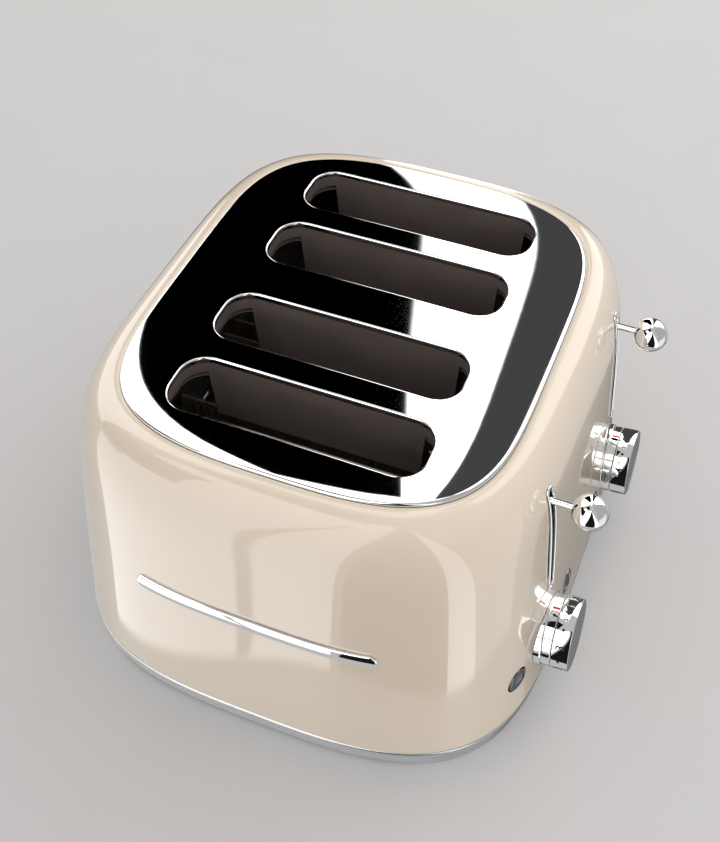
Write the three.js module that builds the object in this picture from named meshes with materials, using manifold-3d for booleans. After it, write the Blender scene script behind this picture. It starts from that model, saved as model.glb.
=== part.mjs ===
// Pop-up toaster with four long slots, built as two units of two slots each, side by side.
// Millimetres, +Z up. X runs along the slots: +X is the side with the levers and dials.
// -Y is the front. Z = 0 is the surface that the feet stand on, and the origin is the
// centre of the whole outline at that height.
import * as THREE from "three";
import { mergeVertices } from "three/addons/utils/BufferGeometryUtils.js";
import Module from "manifold-3d";

const wasm = await Module();
wasm.setup();

// ---------------------------------------------------------------- driving dimensions
const clearance = 0.4; // running gap between neighbouring pieces
const seatGap = 0.3; // gap between pieces that touch on the real object

// Slots
const slotLength = 143;
const slotWidth = 38.5;
const slotCorner = 14.5;
const slotPitch = 55; // between the two slots of one unit
const unitGap = 13.4; // between the facing heaters of the two units
const linerDepth = 40;
const linerWall = 1.0;

// Pressed outer shell: a rounded-square outline that tapers up to a rounded shoulder.
const endMargin = 41; // from the slots' ends to the top plate's edge
const sideMargin = 24; // from the outer slots' sides to the top plate's edge
const flareX = 36; // how far the lower edge stands out past the top edge, along X
const flareY = 36.5;
const shellBottomZ = 16;
const shellTopZ = 192;
const shellWall = 1.8;
const sideTaper = 0.44; // share of the flare that is spread over the straight side
const shoulderPower = 9.7; // higher makes the shoulder tighter
const baseSquareX = 3.12; // outline exponents: higher is squarer
const baseSquareY = 4.15;
const topSquareX = 3.03;
const topSquareY = 4.7;
const outlineSteps = 40;

// Top plate
const plateThickness = 1.2;
const plateRimDrop = 3.0; // how far the rolled rim turns down
const plateRimWidth = 5.0;
const plateDome = 2.4;

// Plinth, pan and feet
const plinthWall = 2.5;
const plinthBottomZ = 1.2;
const plinthArchZ = 7.4; // lower edge of the plinth between its corner legs
const plinthTaper = 3.0; // how far the legs lean in
const legWidth = 58; // from the outline's extreme to the start of the arch, along each side
const legRamp = 14;
const panZ = 8.6;
const panThickness = 1.5;
const ventWidth = 6;
const ventLength = 60;
const footRadius = 9;
const footInset = 45; // foot centre from the outline's extreme, along X and Y

// Crumb trays
const trayFloorZ = 19.5;
const trayHeight = 9;
const trayWall = 1.0;
const trayGap = 19.4; // between the two trays
const trayOverrun = 11; // how far a tray runs past the end plate on the control side
const trayLipHeight = 11;
const trayLipDepth = 3.2;
const trayLipProud = 0.8;

// Inner frame
const endPlateGap = 17.5; // from a slot's end to the end plate
const endPlateThickness = 1.2;
const endPlateBottomZ = 33;
const frameDrop = 11.2; // inner frame below the liner's upper edge
const framePastRod = 4;
const heaterThickness = 1.4;
const guardWire = 1.8;
const guardSideGap = 3.0; // guard's middle from the slot's side
const guardBottomZ = 36;
const rackHalfWidth = 11;
const rackThickness = 2.0;
const rackArmDepth = 4;

// Lever mechanism
const rackLowZ = 42; // bread rack with the lever latched down
const rackBelowLever = 52;
const leverBelowTop = 28; // lever at rest below the shell's top
const leverLift = 5; // extra lift above the rest position
const leverPastUnit = 8.3; // lever and dial outwards from the unit's middle plane
const ballRadius = 9.8;
const ballFromSide = 20.7; // ball centre from the shell's side at rest
const stemRadius = 2.2;
const rodRadius = 3;
const rodPastPlate = 16;
const trackWidth = 8;
const trackSlotWidth = 5;
const trackProud = 1.1;
const trackEnd = 2.2; // solid end of the track past its slot
const armatureDrop = 30; // armature below the lever
const magnetOffsetY = 22;

// Dials and buttons
const dialRadius = 21.5;
const dialLength = 10;
const dialZ = 50;
const collarLength = 7;
const collarWall = 3.4;
const dialShaftRadius = 3;
const controlDepth = 18; // control board behind the side, at the dial
const boardThickness = 1.6;
const buttonRadius = 7.5;
const buttonSpacing = 8.2; // from the collar's flange to a button's edge
const collarFlange = 0.8;
const buttonZ = 47;
const buttonProud = 2.4;

// Cord gland and front badge
const glandZ = 50;
const glandRadius = 6;
const glandBore = 3.6;
const glandProud = 2.2;
const badgeZ = 101;
const badgeHalfLength = 71;
const badgeHeight = 8;
const badgeProud = 1.6;

// ---------------------------------------------------------------- worked-out values
const unitPitch = 2 * slotPitch + unitGap;
const shellTopX = slotLength / 2 + endMargin;
const shellTopY = unitPitch / 2 + slotPitch / 2 + slotWidth / 2 + sideMargin;
const shellBaseX = shellTopX + flareX;
const shellBaseY = shellTopY + flareY;
const bodyHeight = shellTopZ - shellBottomZ;
const unitSides = [-1, 1]; // front unit, rear unit
const unitNames = { "-1": "front", "1": "rear" };
const slotSides = [-1, 1];
const unitY = (side) => (side * unitPitch) / 2;
const slotY = (side, half) => unitY(side) + (half * slotPitch) / 2;
const leverY = (side) => side * (unitPitch / 2 + leverPastUnit);
const sideTilt = Math.atan(((shellBaseX - shellTopX) * sideTaper) / bodyHeight);
const linerTopZ = shellTopZ - 2 * seatGap;
const linerBottomZ = linerTopZ - linerDepth;
const frameZ = linerTopZ - frameDrop;
const endPlateX = slotLength / 2 + endPlateGap;
const endPlateHalfY = unitPitch / 2 + slotPitch + 9;
const rodX = endPlateX + rodPastPlate;
const trayWidth = unitPitch - trayGap;
const leverRestZ = shellTopZ - leverBelowTop;
const rackRestZ = leverRestZ - rackBelowLever;
const leverTravel = rackRestZ - rackLowZ;
const leverSlotLowZ = leverRestZ - leverTravel - stemRadius - 2 * clearance;
const leverSlotHighZ = leverRestZ + leverLift + stemRadius + 2 * clearance;
const buttonOffset = dialRadius + collarFlange + buttonSpacing + buttonRadius;

// The half widths and exponents of the body's outline at a height, moved inwards by inset.
function outlineAt(z, inset = 0) {
  const t = Math.min(Math.max((z - shellBottomZ) / bodyHeight, 0), 1);
  const shoulder = (1 - sideTaper) * (1 - Math.sqrt(1 - t ** shoulderPower));
  const flare = 1 - sideTaper * t - shoulder;
  return {
    x: shellTopX + (shellBaseX - shellTopX) * flare - inset,
    y: shellTopY + (shellBaseY - shellTopY) * flare - inset,
    px: topSquareX + (baseSquareX - topSquareX) * flare,
    py: topSquareY + (baseSquareY - topSquareY) * flare,
    z,
  };
}

// A point of an outline row at an angle round it.
function outlinePoint(row, angle) {
  const c = Math.cos(angle);
  const s = Math.sin(angle);
  return [
    row.x * Math.sign(c) * Math.abs(c) ** (2 / row.px),
    row.y * Math.sign(s) * Math.abs(s) ** (2 / row.py),
    row.z,
  ];
}

// The body's half width along X at a height, over a given Y.
function sideX(z, y) {
  const row = outlineAt(z);
  return row.x * (1 - Math.abs(y / row.y) ** row.py) ** (1 / row.px);
}

// ---------------------------------------------------------------- solids
function toSolid(geometry) {
  const bare = new THREE.BufferGeometry();
  const source = geometry.index ? geometry.toNonIndexed() : geometry;
  bare.setAttribute("position", source.getAttribute("position").clone());
  const merged = mergeVertices(bare, 1e-4);
  const corners = merged.index.array;
  const kept = [];
  for (let i = 0; i < corners.length; i += 3) {
    const [a, b, c] = [corners[i], corners[i + 1], corners[i + 2]];
    if (a !== b && b !== c && c !== a) kept.push(a, b, c);
  }
  const made = new wasm.Manifold(
    new wasm.Mesh({
      numProp: 3,
      vertProperties: new Float32Array(merged.attributes.position.array),
      triVerts: new Uint32Array(kept),
    }),
  );
  return made.volume() < 0 ? toSolid(turnedInsideOut(source)) : made;
}

function turnedInsideOut(geometry) {
  const flipped = geometry.clone();
  const p = flipped.getAttribute("position");
  for (let i = 0; i < p.count; i += 3) {
    const second = [p.getX(i + 1), p.getY(i + 1), p.getZ(i + 1)];
    p.setXYZ(i + 1, p.getX(i + 2), p.getY(i + 2), p.getZ(i + 2));
    p.setXYZ(i + 2, ...second);
  }
  return flipped;
}

function box(lowX, lowY, lowZ, highX, highY, highZ) {
  const g = new THREE.BoxGeometry(highX - lowX, highY - lowY, highZ - lowZ);
  g.translate((lowX + highX) / 2, (lowY + highY) / 2, (lowZ + highZ) / 2);
  return toSolid(g);
}

// A round bar along X, Y or Z, from one end to the other.
function rod(axis, radius, start, end, steps = 16) {
  const from = new THREE.Vector3(...start);
  const length = from.distanceTo(new THREE.Vector3(...end));
  const g = new THREE.CylinderGeometry(radius, radius, length, steps);
  if (axis === "x") g.rotateZ(-Math.PI / 2);
  if (axis === "z") g.rotateX(Math.PI / 2);
  const middle = from.add(new THREE.Vector3(...end)).multiplyScalar(0.5);
  g.translate(middle.x, middle.y, middle.z);
  return toSolid(g);
}

// A solid whose sections are body outlines: rows go round a closed profile.
function loft(rows) {
  const g = new THREE.LatheGeometry(
    rows.map((row) => new THREE.Vector2(1, row.z)),
    outlineSteps,
  );
  const p = g.getAttribute("position");
  for (let i = 0; i < p.count; i++) {
    const turn = Math.floor(i / rows.length) % outlineSteps;
    p.setXYZ(i, ...outlinePoint(rows[i % rows.length], (turn * 2 * Math.PI) / outlineSteps));
  }
  return toSolid(g);
}

function roundedRectangle(halfX, halfY, corner) {
  const shape = new THREE.Shape();
  const r = Math.min(corner, halfX - 0.01, halfY - 0.01);
  shape.moveTo(halfX, -halfY + r);
  shape.lineTo(halfX, halfY - r);
  shape.absarc(halfX - r, halfY - r, r, 0, Math.PI / 2, false);
  shape.absarc(-halfX + r, halfY - r, r, Math.PI / 2, Math.PI, false);
  shape.absarc(-halfX + r, -halfY + r, r, Math.PI, Math.PI * 1.5, false);
  shape.absarc(halfX - r, -halfY + r, r, Math.PI * 1.5, Math.PI * 2, false);
  return shape;
}

// A rounded bar standing along Z over (x, y).
function slotPrism(x, y, halfX, halfY, corner, lowZ, highZ, steps = 5) {
  const g = new THREE.ExtrudeGeometry(roundedRectangle(halfX, halfY, corner), {
    depth: highZ - lowZ,
    bevelEnabled: false,
    curveSegments: steps,
  });
  g.translate(x, y, lowZ);
  return toSolid(g);
}

// A flat outline in the XZ plane, made thick along Y.
function slabAlongY(points, lowY, highY) {
  const g = new THREE.ExtrudeGeometry(
    new THREE.Shape(points.map(([x, z]) => new THREE.Vector2(x, z))),
    { depth: highY - lowY, bevelEnabled: false },
  );
  g.rotateX(Math.PI / 2);
  g.translate(0, highY, 0);
  return toSolid(g);
}

// A turned piece about an axis that starts at a point of the control side and leans up with it.
function turnedOnSide(profile, x, y, z, steps = 28) {
  const g = new THREE.LatheGeometry(
    profile.map(([radius, along]) => new THREE.Vector2(radius, along)),
    steps,
  );
  g.rotateZ(-Math.PI / 2);
  g.rotateY(-sideTilt);
  g.translate(x, y, z);
  return toSolid(g);
}

const union = (pieces) => pieces.reduce((a, b) => a.add(b));

// ---------------------------------------------------------------- finishes and scene graph
const finish = {
  enamel: [0xdccfc0, 0.18, 0.0],
  chrome: [0xd6d8da, 0.08, 1.0],
  satinChrome: [0xa6a8aa, 0.32, 1.0],
  darkChrome: [0x6b6c6e, 0.25, 1.0],
  heatedSteel: [0x4a4441, 0.42, 0.9],
  zincSteel: [0xa9acae, 0.45, 1.0],
  wire: [0x8c8a86, 0.35, 1.0],
  mica: [0xb9a98c, 0.7, 0.0],
  rubber: [0x1f1f20, 0.85, 0.0],
  blackPlastic: [0x232325, 0.5, 0.0],
  board: [0x2f5d3a, 0.6, 0.0],
  coil: [0x8a4a2c, 0.45, 0.6],
};

const toaster = new THREE.Group();

function place(name, solid, look) {
  const made = solid.getMesh();
  const g = new THREE.BufferGeometry();
  g.setAttribute("position", new THREE.BufferAttribute(made.vertProperties, 3));
  g.setIndex(new THREE.BufferAttribute(made.triVerts, 1));
  g.computeVertexNormals();
  const [color, roughness, metalness] = look;
  const mesh = new THREE.Mesh(g, new THREE.MeshStandardMaterial({ color, roughness, metalness }));
  mesh.name = name;
  toaster.add(mesh);
}

// ---------------------------------------------------------------- casing
// Heights of the shell's sections: even on the side, close together round the shoulder.
function shellHeights() {
  const straight = [0, 0.25, 0.5];
  const shoulder = [10, 26, 42, 58, 74, 90].map(
    (degrees) => Math.sin((degrees * Math.PI) / 180) ** (2 / shoulderPower),
  );
  return [...straight, ...shoulder].map((t) => shellBottomZ + t * bodyHeight);
}

// The whole body as one block, grown outwards or moved inwards.
function bodyBlock(inset) {
  const rows = shellHeights().map((z) => outlineAt(z, inset));
  const pole = (row) => ({ ...row, x: 0, y: 0 });
  return loft([pole(rows[0]), ...rows, pole(rows[rows.length - 1])]);
}

function trayWindow(side, grow) {
  return box(
    -shellBaseX - 5,
    unitY(side) - trayWidth / 2 - grow,
    trayFloorZ - grow,
    -shellBaseX / 2,
    unitY(side) + trayWidth / 2 + grow,
    trayFloorZ + trayLipHeight + grow,
  );
}

function shellRing() {
  const heights = shellHeights();
  const outer = heights.map((z) => outlineAt(z));
  const inner = heights.map((z) => outlineAt(z, shellWall)).reverse();
  return loft([...outer, ...inner, outer[0]]);
}

// The slot that the lever's stem runs in, as a bar through the side with round ends.
function leverSlot(side, halfWidth, lowZ, highZ) {
  const shape = roundedRectangle((highZ - lowZ) / 2, halfWidth, halfWidth);
  const depth = shellBaseX - rodX;
  const g = new THREE.ExtrudeGeometry(shape, { depth, bevelEnabled: false, curveSegments: 3 });
  g.rotateY(-Math.PI / 2);
  g.translate(shellBaseX + trackProud + 2, leverY(side), (lowZ + highZ) / 2);
  return toSolid(g);
}

function buttonSeats(side) {
  return slotSides.map((half) => {
    const y = leverY(side) + half * buttonOffset;
    return { half, y, x: sideX(buttonZ, y) };
  });
}

function drilledOnSide(radius, x, y, z, steps) {
  const reach = 12;
  return turnedOnSide([[0, -reach], [radius, -reach], [radius, reach], [0, reach]], x, y, z, steps);
}

function outerShell() {
  let shell = shellRing().subtract(glandHole());
  for (const side of unitSides) {
    const y = leverY(side);
    shell = shell
      .subtract(trayWindow(side, clearance))
      .subtract(leverSlot(side, trackSlotWidth / 2, leverSlotLowZ, leverSlotHighZ))
      .subtract(drilledOnSide(dialShaftRadius + 2, sideX(dialZ, y), y, dialZ, 14));
    for (const seat of buttonSeats(side)) {
      const hole = drilledOnSide(buttonRadius + clearance, seat.x, seat.y, buttonZ, 18);
      shell = shell.subtract(hole);
    }
  }
  place("outer_shell", shell, finish.enamel);
}

// Top plate: a shallow dome with a rolled rim, and four openings.
function topPlate() {
  const edge = outlineAt(shellTopZ);
  const row = (inset, z) => ({ ...edge, x: edge.x - inset, y: edge.y - inset, z });
  const scaled = (share, z) => ({
    ...edge,
    x: (edge.x - plateRimWidth) * share,
    y: (edge.y - plateRimWidth) * share,
    z,
  });
  const flatZ = shellTopZ + seatGap + plateThickness;
  const domeZ = (share) => flatZ + plateDome * (1 - share ** 2);
  const lift = (degrees) => ({
    inset: plateRimWidth * (1 - Math.cos((degrees * Math.PI) / 180)),
    z: flatZ - plateRimDrop * (1 - Math.sin((degrees * Math.PI) / 180)),
  });
  const rim = [0, 45].map(lift);
  const shares = [1, 0.6, 0];
  const outside = [
    ...rim.map(({ inset, z }) => row(inset + shellWall + seatGap, z)),
    ...shares.map((share) => scaled(share, domeZ(share))),
  ];
  const inside = [
    ...shares.map((share) => scaled(share, domeZ(share) - plateThickness)).reverse(),
    row(plateRimWidth, flatZ - plateRimDrop),
  ];
  inside[shares.length - 1].x -= plateThickness;
  inside[shares.length - 1].y -= plateThickness;
  let plate = loft([...outside, ...inside, outside[0]]);
  for (const side of unitSides) {
    for (const half of slotSides) {
      plate = plate.subtract(
        slotPrism(
          0, slotY(side, half), slotLength / 2, slotWidth / 2, slotCorner,
          shellTopZ - 20, shellTopZ + 20,
        ),
      );
    }
  }
  place("top_plate", plate, finish.chrome);
}

// Inner top frame: one stamped plate whose four wells line the slots. It reaches out over
// the guide rods on the control side.
function slotLiner() {
  const wellX = slotLength / 2 + linerWall + 0.5;
  const wellY = slotWidth / 2 + linerWall + 0.5;
  const highX = rodX + framePastRod;
  const plateX = endPlateX + endPlateThickness;
  const armHalfY = slotY(1, 1) + 4;
  let frame = union([
    box(-plateX, -endPlateHalfY, frameZ, plateX, endPlateHalfY, frameZ + linerWall),
    box(plateX - 1, -armHalfY, frameZ, highX, armHalfY, frameZ + linerWall),
  ]);
  const wells = unitSides.flatMap((side) => slotSides.map((half) => slotY(side, half)));
  const corner = slotCorner + linerWall;
  for (const y of wells) {
    frame = frame.add(slotPrism(0, y, wellX, wellY, corner, linerBottomZ, linerTopZ, 3));
  }
  for (const y of wells) {
    const [innerX, innerY] = [wellX - linerWall, wellY - linerWall];
    frame = frame.subtract(
      slotPrism(0, y, innerX, innerY, slotCorner, linerBottomZ - 1, linerTopZ + 1, 3),
    );
  }
  place("slot_liner", frame, finish.heatedSteel);
}

// Side view of the arch under the plinth: a block with ramped ends, cut along X or Y.
function archCut(alongY) {
  const reach = (alongY ? shellBaseY : shellBaseX) - legWidth;
  const profile = [
    [-reach - legRamp, -5],
    [reach + legRamp, -5],
    [reach + legRamp, plinthBottomZ - 0.01],
    [reach + legRamp * 0.6, plinthBottomZ + (plinthArchZ - plinthBottomZ) * 0.25],
    [reach + legRamp * 0.3, plinthBottomZ + (plinthArchZ - plinthBottomZ) * 0.75],
    [reach, plinthArchZ],
    [-reach, plinthArchZ],
    [-reach - legRamp * 0.3, plinthBottomZ + (plinthArchZ - plinthBottomZ) * 0.75],
    [-reach - legRamp * 0.6, plinthBottomZ + (plinthArchZ - plinthBottomZ) * 0.25],
    [-reach - legRamp, plinthBottomZ - 0.01],
  ];
  const length = shellBaseX + shellBaseY;
  const shape = new THREE.Shape(profile.map(([u, z]) => new THREE.Vector2(u, z)));
  const g = new THREE.ExtrudeGeometry(shape, { depth: 2 * length, bevelEnabled: false });
  g.rotateX(Math.PI / 2);
  g.translate(0, length, 0);
  if (alongY) g.rotateZ(Math.PI / 2);
  return toSolid(g);
}

function basePlinth() {
  const topZ = shellBottomZ - seatGap;
  const base = outlineAt(shellBottomZ);
  const row = (inset, z) => ({ ...base, x: base.x - inset, y: base.y - inset, z });
  const outer = [
    row(plinthTaper, plinthBottomZ),
    row(plinthTaper * 0.35, plinthArchZ),
    row(0.4, topZ - 1.5),
    row(1.0, topZ),
  ];
  const inner = [
    row(plinthWall + 1.0, topZ),
    row(plinthWall + plinthTaper * 0.35, plinthArchZ),
    row(plinthWall + plinthTaper, plinthBottomZ),
  ];
  const plinth = loft([...outer, ...inner, outer[0]])
    .subtract(archCut(false))
    .subtract(archCut(true));
  place("base_plinth", plinth, finish.satinChrome);
}

function footPlaces() {
  return unitSides.flatMap((sy) =>
    slotSides.map((sx) => ({
      x: sx * (shellBaseX - footInset),
      y: sy * (shellBaseY - footInset),
      name: "foot_" + unitNames[sy] + (sx < 0 ? "_left" : "_right"),
    })),
  );
}

function basePan() {
  const base = outlineAt(shellBottomZ);
  const inset = plinthWall + plinthTaper * 0.35 + 1.2;
  const row = (z) => ({ ...base, x: base.x - inset, y: base.y - inset, z });
  const pole = (z) => ({ ...row(z), x: 0, y: 0 });
  let pan = loft([pole(panZ), row(panZ), row(panZ + panThickness), pole(panZ + panThickness)]);
  const ventCount = 5;
  const ventSpacing = 28;
  for (const side of unitSides) {
    for (let i = 0; i < ventCount; i++) {
      const x = (i - (ventCount - 1) / 2) * ventSpacing;
      const y = unitY(side);
      pan = pan.subtract(
        box(
          x - ventWidth / 2, y - ventLength / 2, panZ - 1,
          x + ventWidth / 2, y + ventLength / 2, panZ + panThickness + 1,
        ),
      );
    }
  }
  place("base_pan", pan, finish.zincSteel);
}

function feet() {
  for (const foot of footPlaces()) {
    const g = new THREE.LatheGeometry(
      [
        [0, 0],
        [footRadius - 1.5, 0],
        [footRadius, 1.5],
        [footRadius - 1, panZ - seatGap],
        [0, panZ - seatGap],
      ].map(([radius, along]) => new THREE.Vector2(radius, along)),
      16,
    );
    g.rotateX(Math.PI / 2);
    g.translate(foot.x, foot.y, 0);
    place(foot.name, toSolid(g), finish.rubber);
  }
}

// Crumb tray: a shallow pan with a lip cut from the shell's own curve.
function crumbTray(side) {
  const y = unitY(side);
  const floorZ = trayFloorZ + 1;
  const topZ = trayFloorZ + trayHeight;
  const halfY = trayWidth / 2 - 4;
  const startX = -sideX(trayFloorZ, Math.abs(y) + trayWidth / 2) + trayLipDepth - 1;
  const endX = endPlateX + trayOverrun;
  const lip = bodyBlock(-trayLipProud)
    .subtract(bodyBlock(trayLipDepth))
    .intersect(trayWindow(side, 0));
  const outside = box(startX, y - halfY, floorZ, endX, y + halfY, topZ);
  const inside = box(
    startX + trayWall, y - halfY + trayWall, floorZ + trayWall,
    endX - trayWall, y + halfY - trayWall, topZ + 1,
  );
  // The lip is curved and the pan is square, so solid metal fills what lies between them.
  const bridge = box(-shellBaseX, y - halfY, floorZ, startX + trayWall, y + halfY, topZ)
    .intersect(bodyBlock(0.5));
  const tray = outside.subtract(inside).add(bridge).add(lip);
  place("crumb_tray_" + unitNames[side], tray, finish.zincSteel);
}

// Cord gland: a flanged bush through the shell, low on the side away from the controls.
function cordGland() {
  const pipe = (inner, outer, low, high) => {
    const profile = [[inner, low], [outer, low], [outer, high], [inner, high], [inner, low]];
    const g = new THREE.LatheGeometry(
      profile.map(([radius, along]) => new THREE.Vector2(radius, along)),
      20,
    );
    g.rotateZ(Math.PI / 2);
    g.translate(-sideX(glandZ, 0), 0, glandZ);
    return toSolid(g);
  };
  const flange = pipe(glandRadius - 1, glandRadius + 3, -2, glandProud)
    .subtract(bodyBlock(-seatGap));
  place("cord_gland", flange.add(pipe(glandBore, glandRadius, -10, glandProud)), finish.blackPlastic);
}

function glandHole() {
  const x = -sideX(glandZ, 0);
  const reach = 10;
  return rod("x", glandRadius + clearance, [x - reach, 0, glandZ], [x + reach, 0, glandZ], 20);
}

// ---------------------------------------------------------------- controls
// Lever track: a narrow chrome trim that follows the side, with the lever's slot in it.
function leverTrack(side) {
  const outline = leverSlot(
    side, trackWidth / 2, leverSlotLowZ - trackEnd, leverSlotHighZ + trackEnd,
  );
  const track = bodyBlock(-seatGap - trackProud)
    .subtract(bodyBlock(-seatGap))
    .intersect(outline)
    .subtract(leverSlot(side, trackSlotWidth / 2, leverSlotLowZ, leverSlotHighZ));
  place("lever_track_" + unitNames[side], track, finish.chrome);
}

function lever(side) {
  const y = leverY(side);
  const ballX = sideX(leverRestZ, y) + ballFromSide;
  const stemEndX = ballX - ballRadius * 0.72;
  const tabX = rodX + 7;
  const stem = rod("x", stemRadius, [tabX, y, leverRestZ], [stemEndX, y, leverRestZ], 12);
  place("lever_stem_" + unitNames[side], stem, finish.chrome);
  const ball = new THREE.SphereGeometry(ballRadius, 16, 10);
  ball.translate(ballX, y, leverRestZ);
  const socket = rod(
    "x", stemRadius + seatGap,
    [ballX - ballRadius - 1, y, leverRestZ],
    [stemEndX + seatGap, y, leverRestZ], 12,
  );
  place("lever_ball_" + unitNames[side], toSolid(ball).subtract(socket), finish.chrome);
}

// Where the dial's control stands in front of the board, counted from the shell's side.
const controlBack = -controlDepth + boardThickness + 2 * clearance;
const controlLength = 9;

// Fixed ring that the dial turns against.
function dialCollar(side) {
  const inner = dialRadius - collarWall;
  const outer = dialRadius - 0.2;
  const flange = dialRadius + collarFlange;
  const profile = [
    [inner, -6],
    [flange, -6],
    [flange, 1.2],
    [outer, 1.6],
    [outer, collarLength],
    [inner, collarLength],
    [inner, -6],
  ];
  const y = leverY(side);
  const collar = turnedOnSide(profile, sideX(dialZ, y), y, dialZ);
  place("dial_collar_" + unitNames[side], collar.subtract(bodyBlock(-seatGap)), finish.chrome);
}

// The dial is a cup with a hub and a shaft that reaches the control behind the shell.
function dial(side) {
  const start = collarLength + clearance;
  const end = start + dialLength;
  const hub = 6;
  const skirt = 2;
  const faceThickness = 2.5;
  const profile = [
    [0, controlBack + controlLength - 1],
    [dialShaftRadius, controlBack + controlLength - 1],
    [dialShaftRadius, start + 1],
    [hub, start + 1],
    [hub, end - faceThickness],
    [dialRadius - skirt, end - faceThickness],
    [dialRadius - skirt, start],
    [dialRadius, start],
    [dialRadius, end - 0.8],
    [dialRadius - 0.8, end],
    [0, end],
  ];
  const y = leverY(side);
  place("dial_" + unitNames[side], turnedOnSide(profile, sideX(dialZ, y), y, dialZ), finish.chrome);
}

function dialControl(side) {
  const bore = dialShaftRadius + clearance;
  const profile = [
    [0, controlBack],
    [8, controlBack],
    [8, controlBack + controlLength],
    [bore + 1.5, controlBack + controlLength],
    [bore + 1.5, controlBack + controlLength + 3],
    [bore, controlBack + controlLength + 3],
    [bore, controlBack + controlLength - 1 - clearance],
    [0, controlBack + controlLength - 1 - clearance],
  ];
  const y = leverY(side);
  const control = turnedOnSide(profile, sideX(dialZ, y), y, dialZ, 16);
  place("dial_control_" + unitNames[side], control, finish.blackPlastic);
}

function buttons(side) {
  for (const seat of buttonSeats(side)) {
    const stem = buttonRadius - 2;
    const profile = [
      [0, -7],
      [stem, -7],
      [stem, -shellWall - 1],
      [buttonRadius, -shellWall - 1],
      [buttonRadius, buttonProud - 1],
      [buttonRadius - 1, buttonProud],
      [0, buttonProud - 0.4],
    ];
    const cap = turnedOnSide(profile, seat.x, seat.y, buttonZ, 18);
    const label = seat.half === side ? "stop" : "defrost";
    place(label + "_button_" + unitNames[side], cap, finish.darkChrome);
  }
}

// Timer board behind the dial, with a relay on its inner face.
function controlBoard(side) {
  const y = leverY(side);
  const x = sideX(dialZ, y) - controlDepth - 1.9;
  const halfY = buttonOffset + 6;
  const lowZ = endPlateBottomZ + 3;
  const board = box(x, y - halfY, lowZ, x + boardThickness, y + halfY, dialZ + dialRadius + 2);
  const relayY = y + side * 14;
  const relay = box(x - 7, relayY - 8, lowZ + 4, x + 0.5, relayY + 8, lowZ + 18);
  place("control_board_" + unitNames[side], board.add(relay), finish.board);
}

// ---------------------------------------------------------------- inner frame
// End plates stand on the pan beside the trays. The one on the control side has a shelf
// for the guide rods, the magnets and the boards.
function endPlates() {
  const slitHalf = 4;
  const lowZ = rackLowZ - rackArmDepth - 2;
  const highZ = rackRestZ + leverLift + rackThickness + 2;
  const legBottomZ = panZ + panThickness + seatGap;
  const legInnerY = unitPitch / 2 + trayWidth / 2 + 2;
  const shelfX = sideX(dialZ, leverY(1)) - controlDepth;
  for (const end of [-1, 1]) {
    const inner = end * endPlateX;
    const outer = inner + end * endPlateThickness;
    const [lowX, highX] = [Math.min(inner, outer), Math.max(inner, outer)];
    let plate = union([
      box(lowX, -endPlateHalfY, endPlateBottomZ, highX, endPlateHalfY, frameZ - seatGap),
      box(lowX, -trayGap / 2 + 2, legBottomZ, highX, trayGap / 2 - 2, endPlateBottomZ + 1),
      box(lowX, legInnerY, legBottomZ, highX, endPlateHalfY, endPlateBottomZ + 1),
      box(lowX, -endPlateHalfY, legBottomZ, highX, -legInnerY, endPlateBottomZ + 1),
    ]);
    if (end > 0) {
      plate = plate.add(
        box(
          lowX, -endPlateHalfY + 14, endPlateBottomZ,
          shelfX, endPlateHalfY - 14, endPlateBottomZ + endPlateThickness,
        ),
      );
    }
    for (const side of unitSides) {
      for (const half of slotSides) {
        const y = slotY(side, half);
        plate = plate.subtract(box(lowX - 1, y - slitHalf, lowZ, highX + 1, y + slitHalf, highZ));
      }
    }
    place(end < 0 ? "end_plate_left" : "end_plate_right", plate, finish.zincSteel);
  }
}

function heaterCards(side) {
  const places = { inner: -1, middle: 0, outer: 1 };
  for (const [label, step] of Object.entries(places)) {
    const y = unitY(side) + side * step * slotPitch;
    const card = box(
      -endPlateX + 1, y - heaterThickness / 2, guardBottomZ + 4,
      endPlateX - 1, y + heaterThickness / 2, linerBottomZ - 4,
    );
    place("heater_" + unitNames[side] + "_" + label, card, finish.mica);
  }
}

// One bread guard: a wire panel that stands beside the bread and turns about its lower wire.
function breadGuard(side, half, hand) {
  const y = slotY(side, half) + hand * (slotWidth / 2 - guardSideGap);
  const r = guardWire / 2;
  const halfX = slotLength / 2 - 2;
  const topZ = linerBottomZ - 3;
  const rail = (z) => box(-halfX, y - r, z - r, halfX, y + r, z + r);
  const wires = [rail(guardBottomZ), rail(topZ)];
  const count = 7;
  for (let i = 0; i < count; i++) {
    const x = -halfX + r + ((2 * halfX - 2 * r) * i) / (count - 1);
    wires.push(box(x - r, y - r, guardBottomZ, x + r, y + r, topZ));
  }
  const slotName = half * side < 0 ? "inner" : "outer";
  const handName = hand * side < 0 ? "_near" : "_far";
  place("guard_" + unitNames[side] + "_" + slotName + handName, union(wires), finish.wire);
}

// Bread rack: a flat arm through both end plates, with cross fingers under the bread.
function breadRack(side, half) {
  const y = slotY(side, half);
  const z = rackRestZ;
  const arm = box(
    -endPlateX - 8, y - 1.2, z - rackArmDepth,
    rodX - 5 - seatGap, y + 1.2, z + rackThickness,
  );
  const pieces = [arm];
  const count = 6;
  const reach = slotLength / 2 - 6;
  for (let i = 0; i < count; i++) {
    const x = -reach + (2 * reach * i) / (count - 1);
    pieces.push(
      box(x - 1.2, y - rackHalfWidth, z, x + 1.2, y + rackHalfWidth, z + rackThickness),
    );
  }
  const slotName = half * side < 0 ? "_inner" : "_outer";
  place("rack_" + unitNames[side] + slotName, union(pieces), finish.zincSteel);
}

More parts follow.
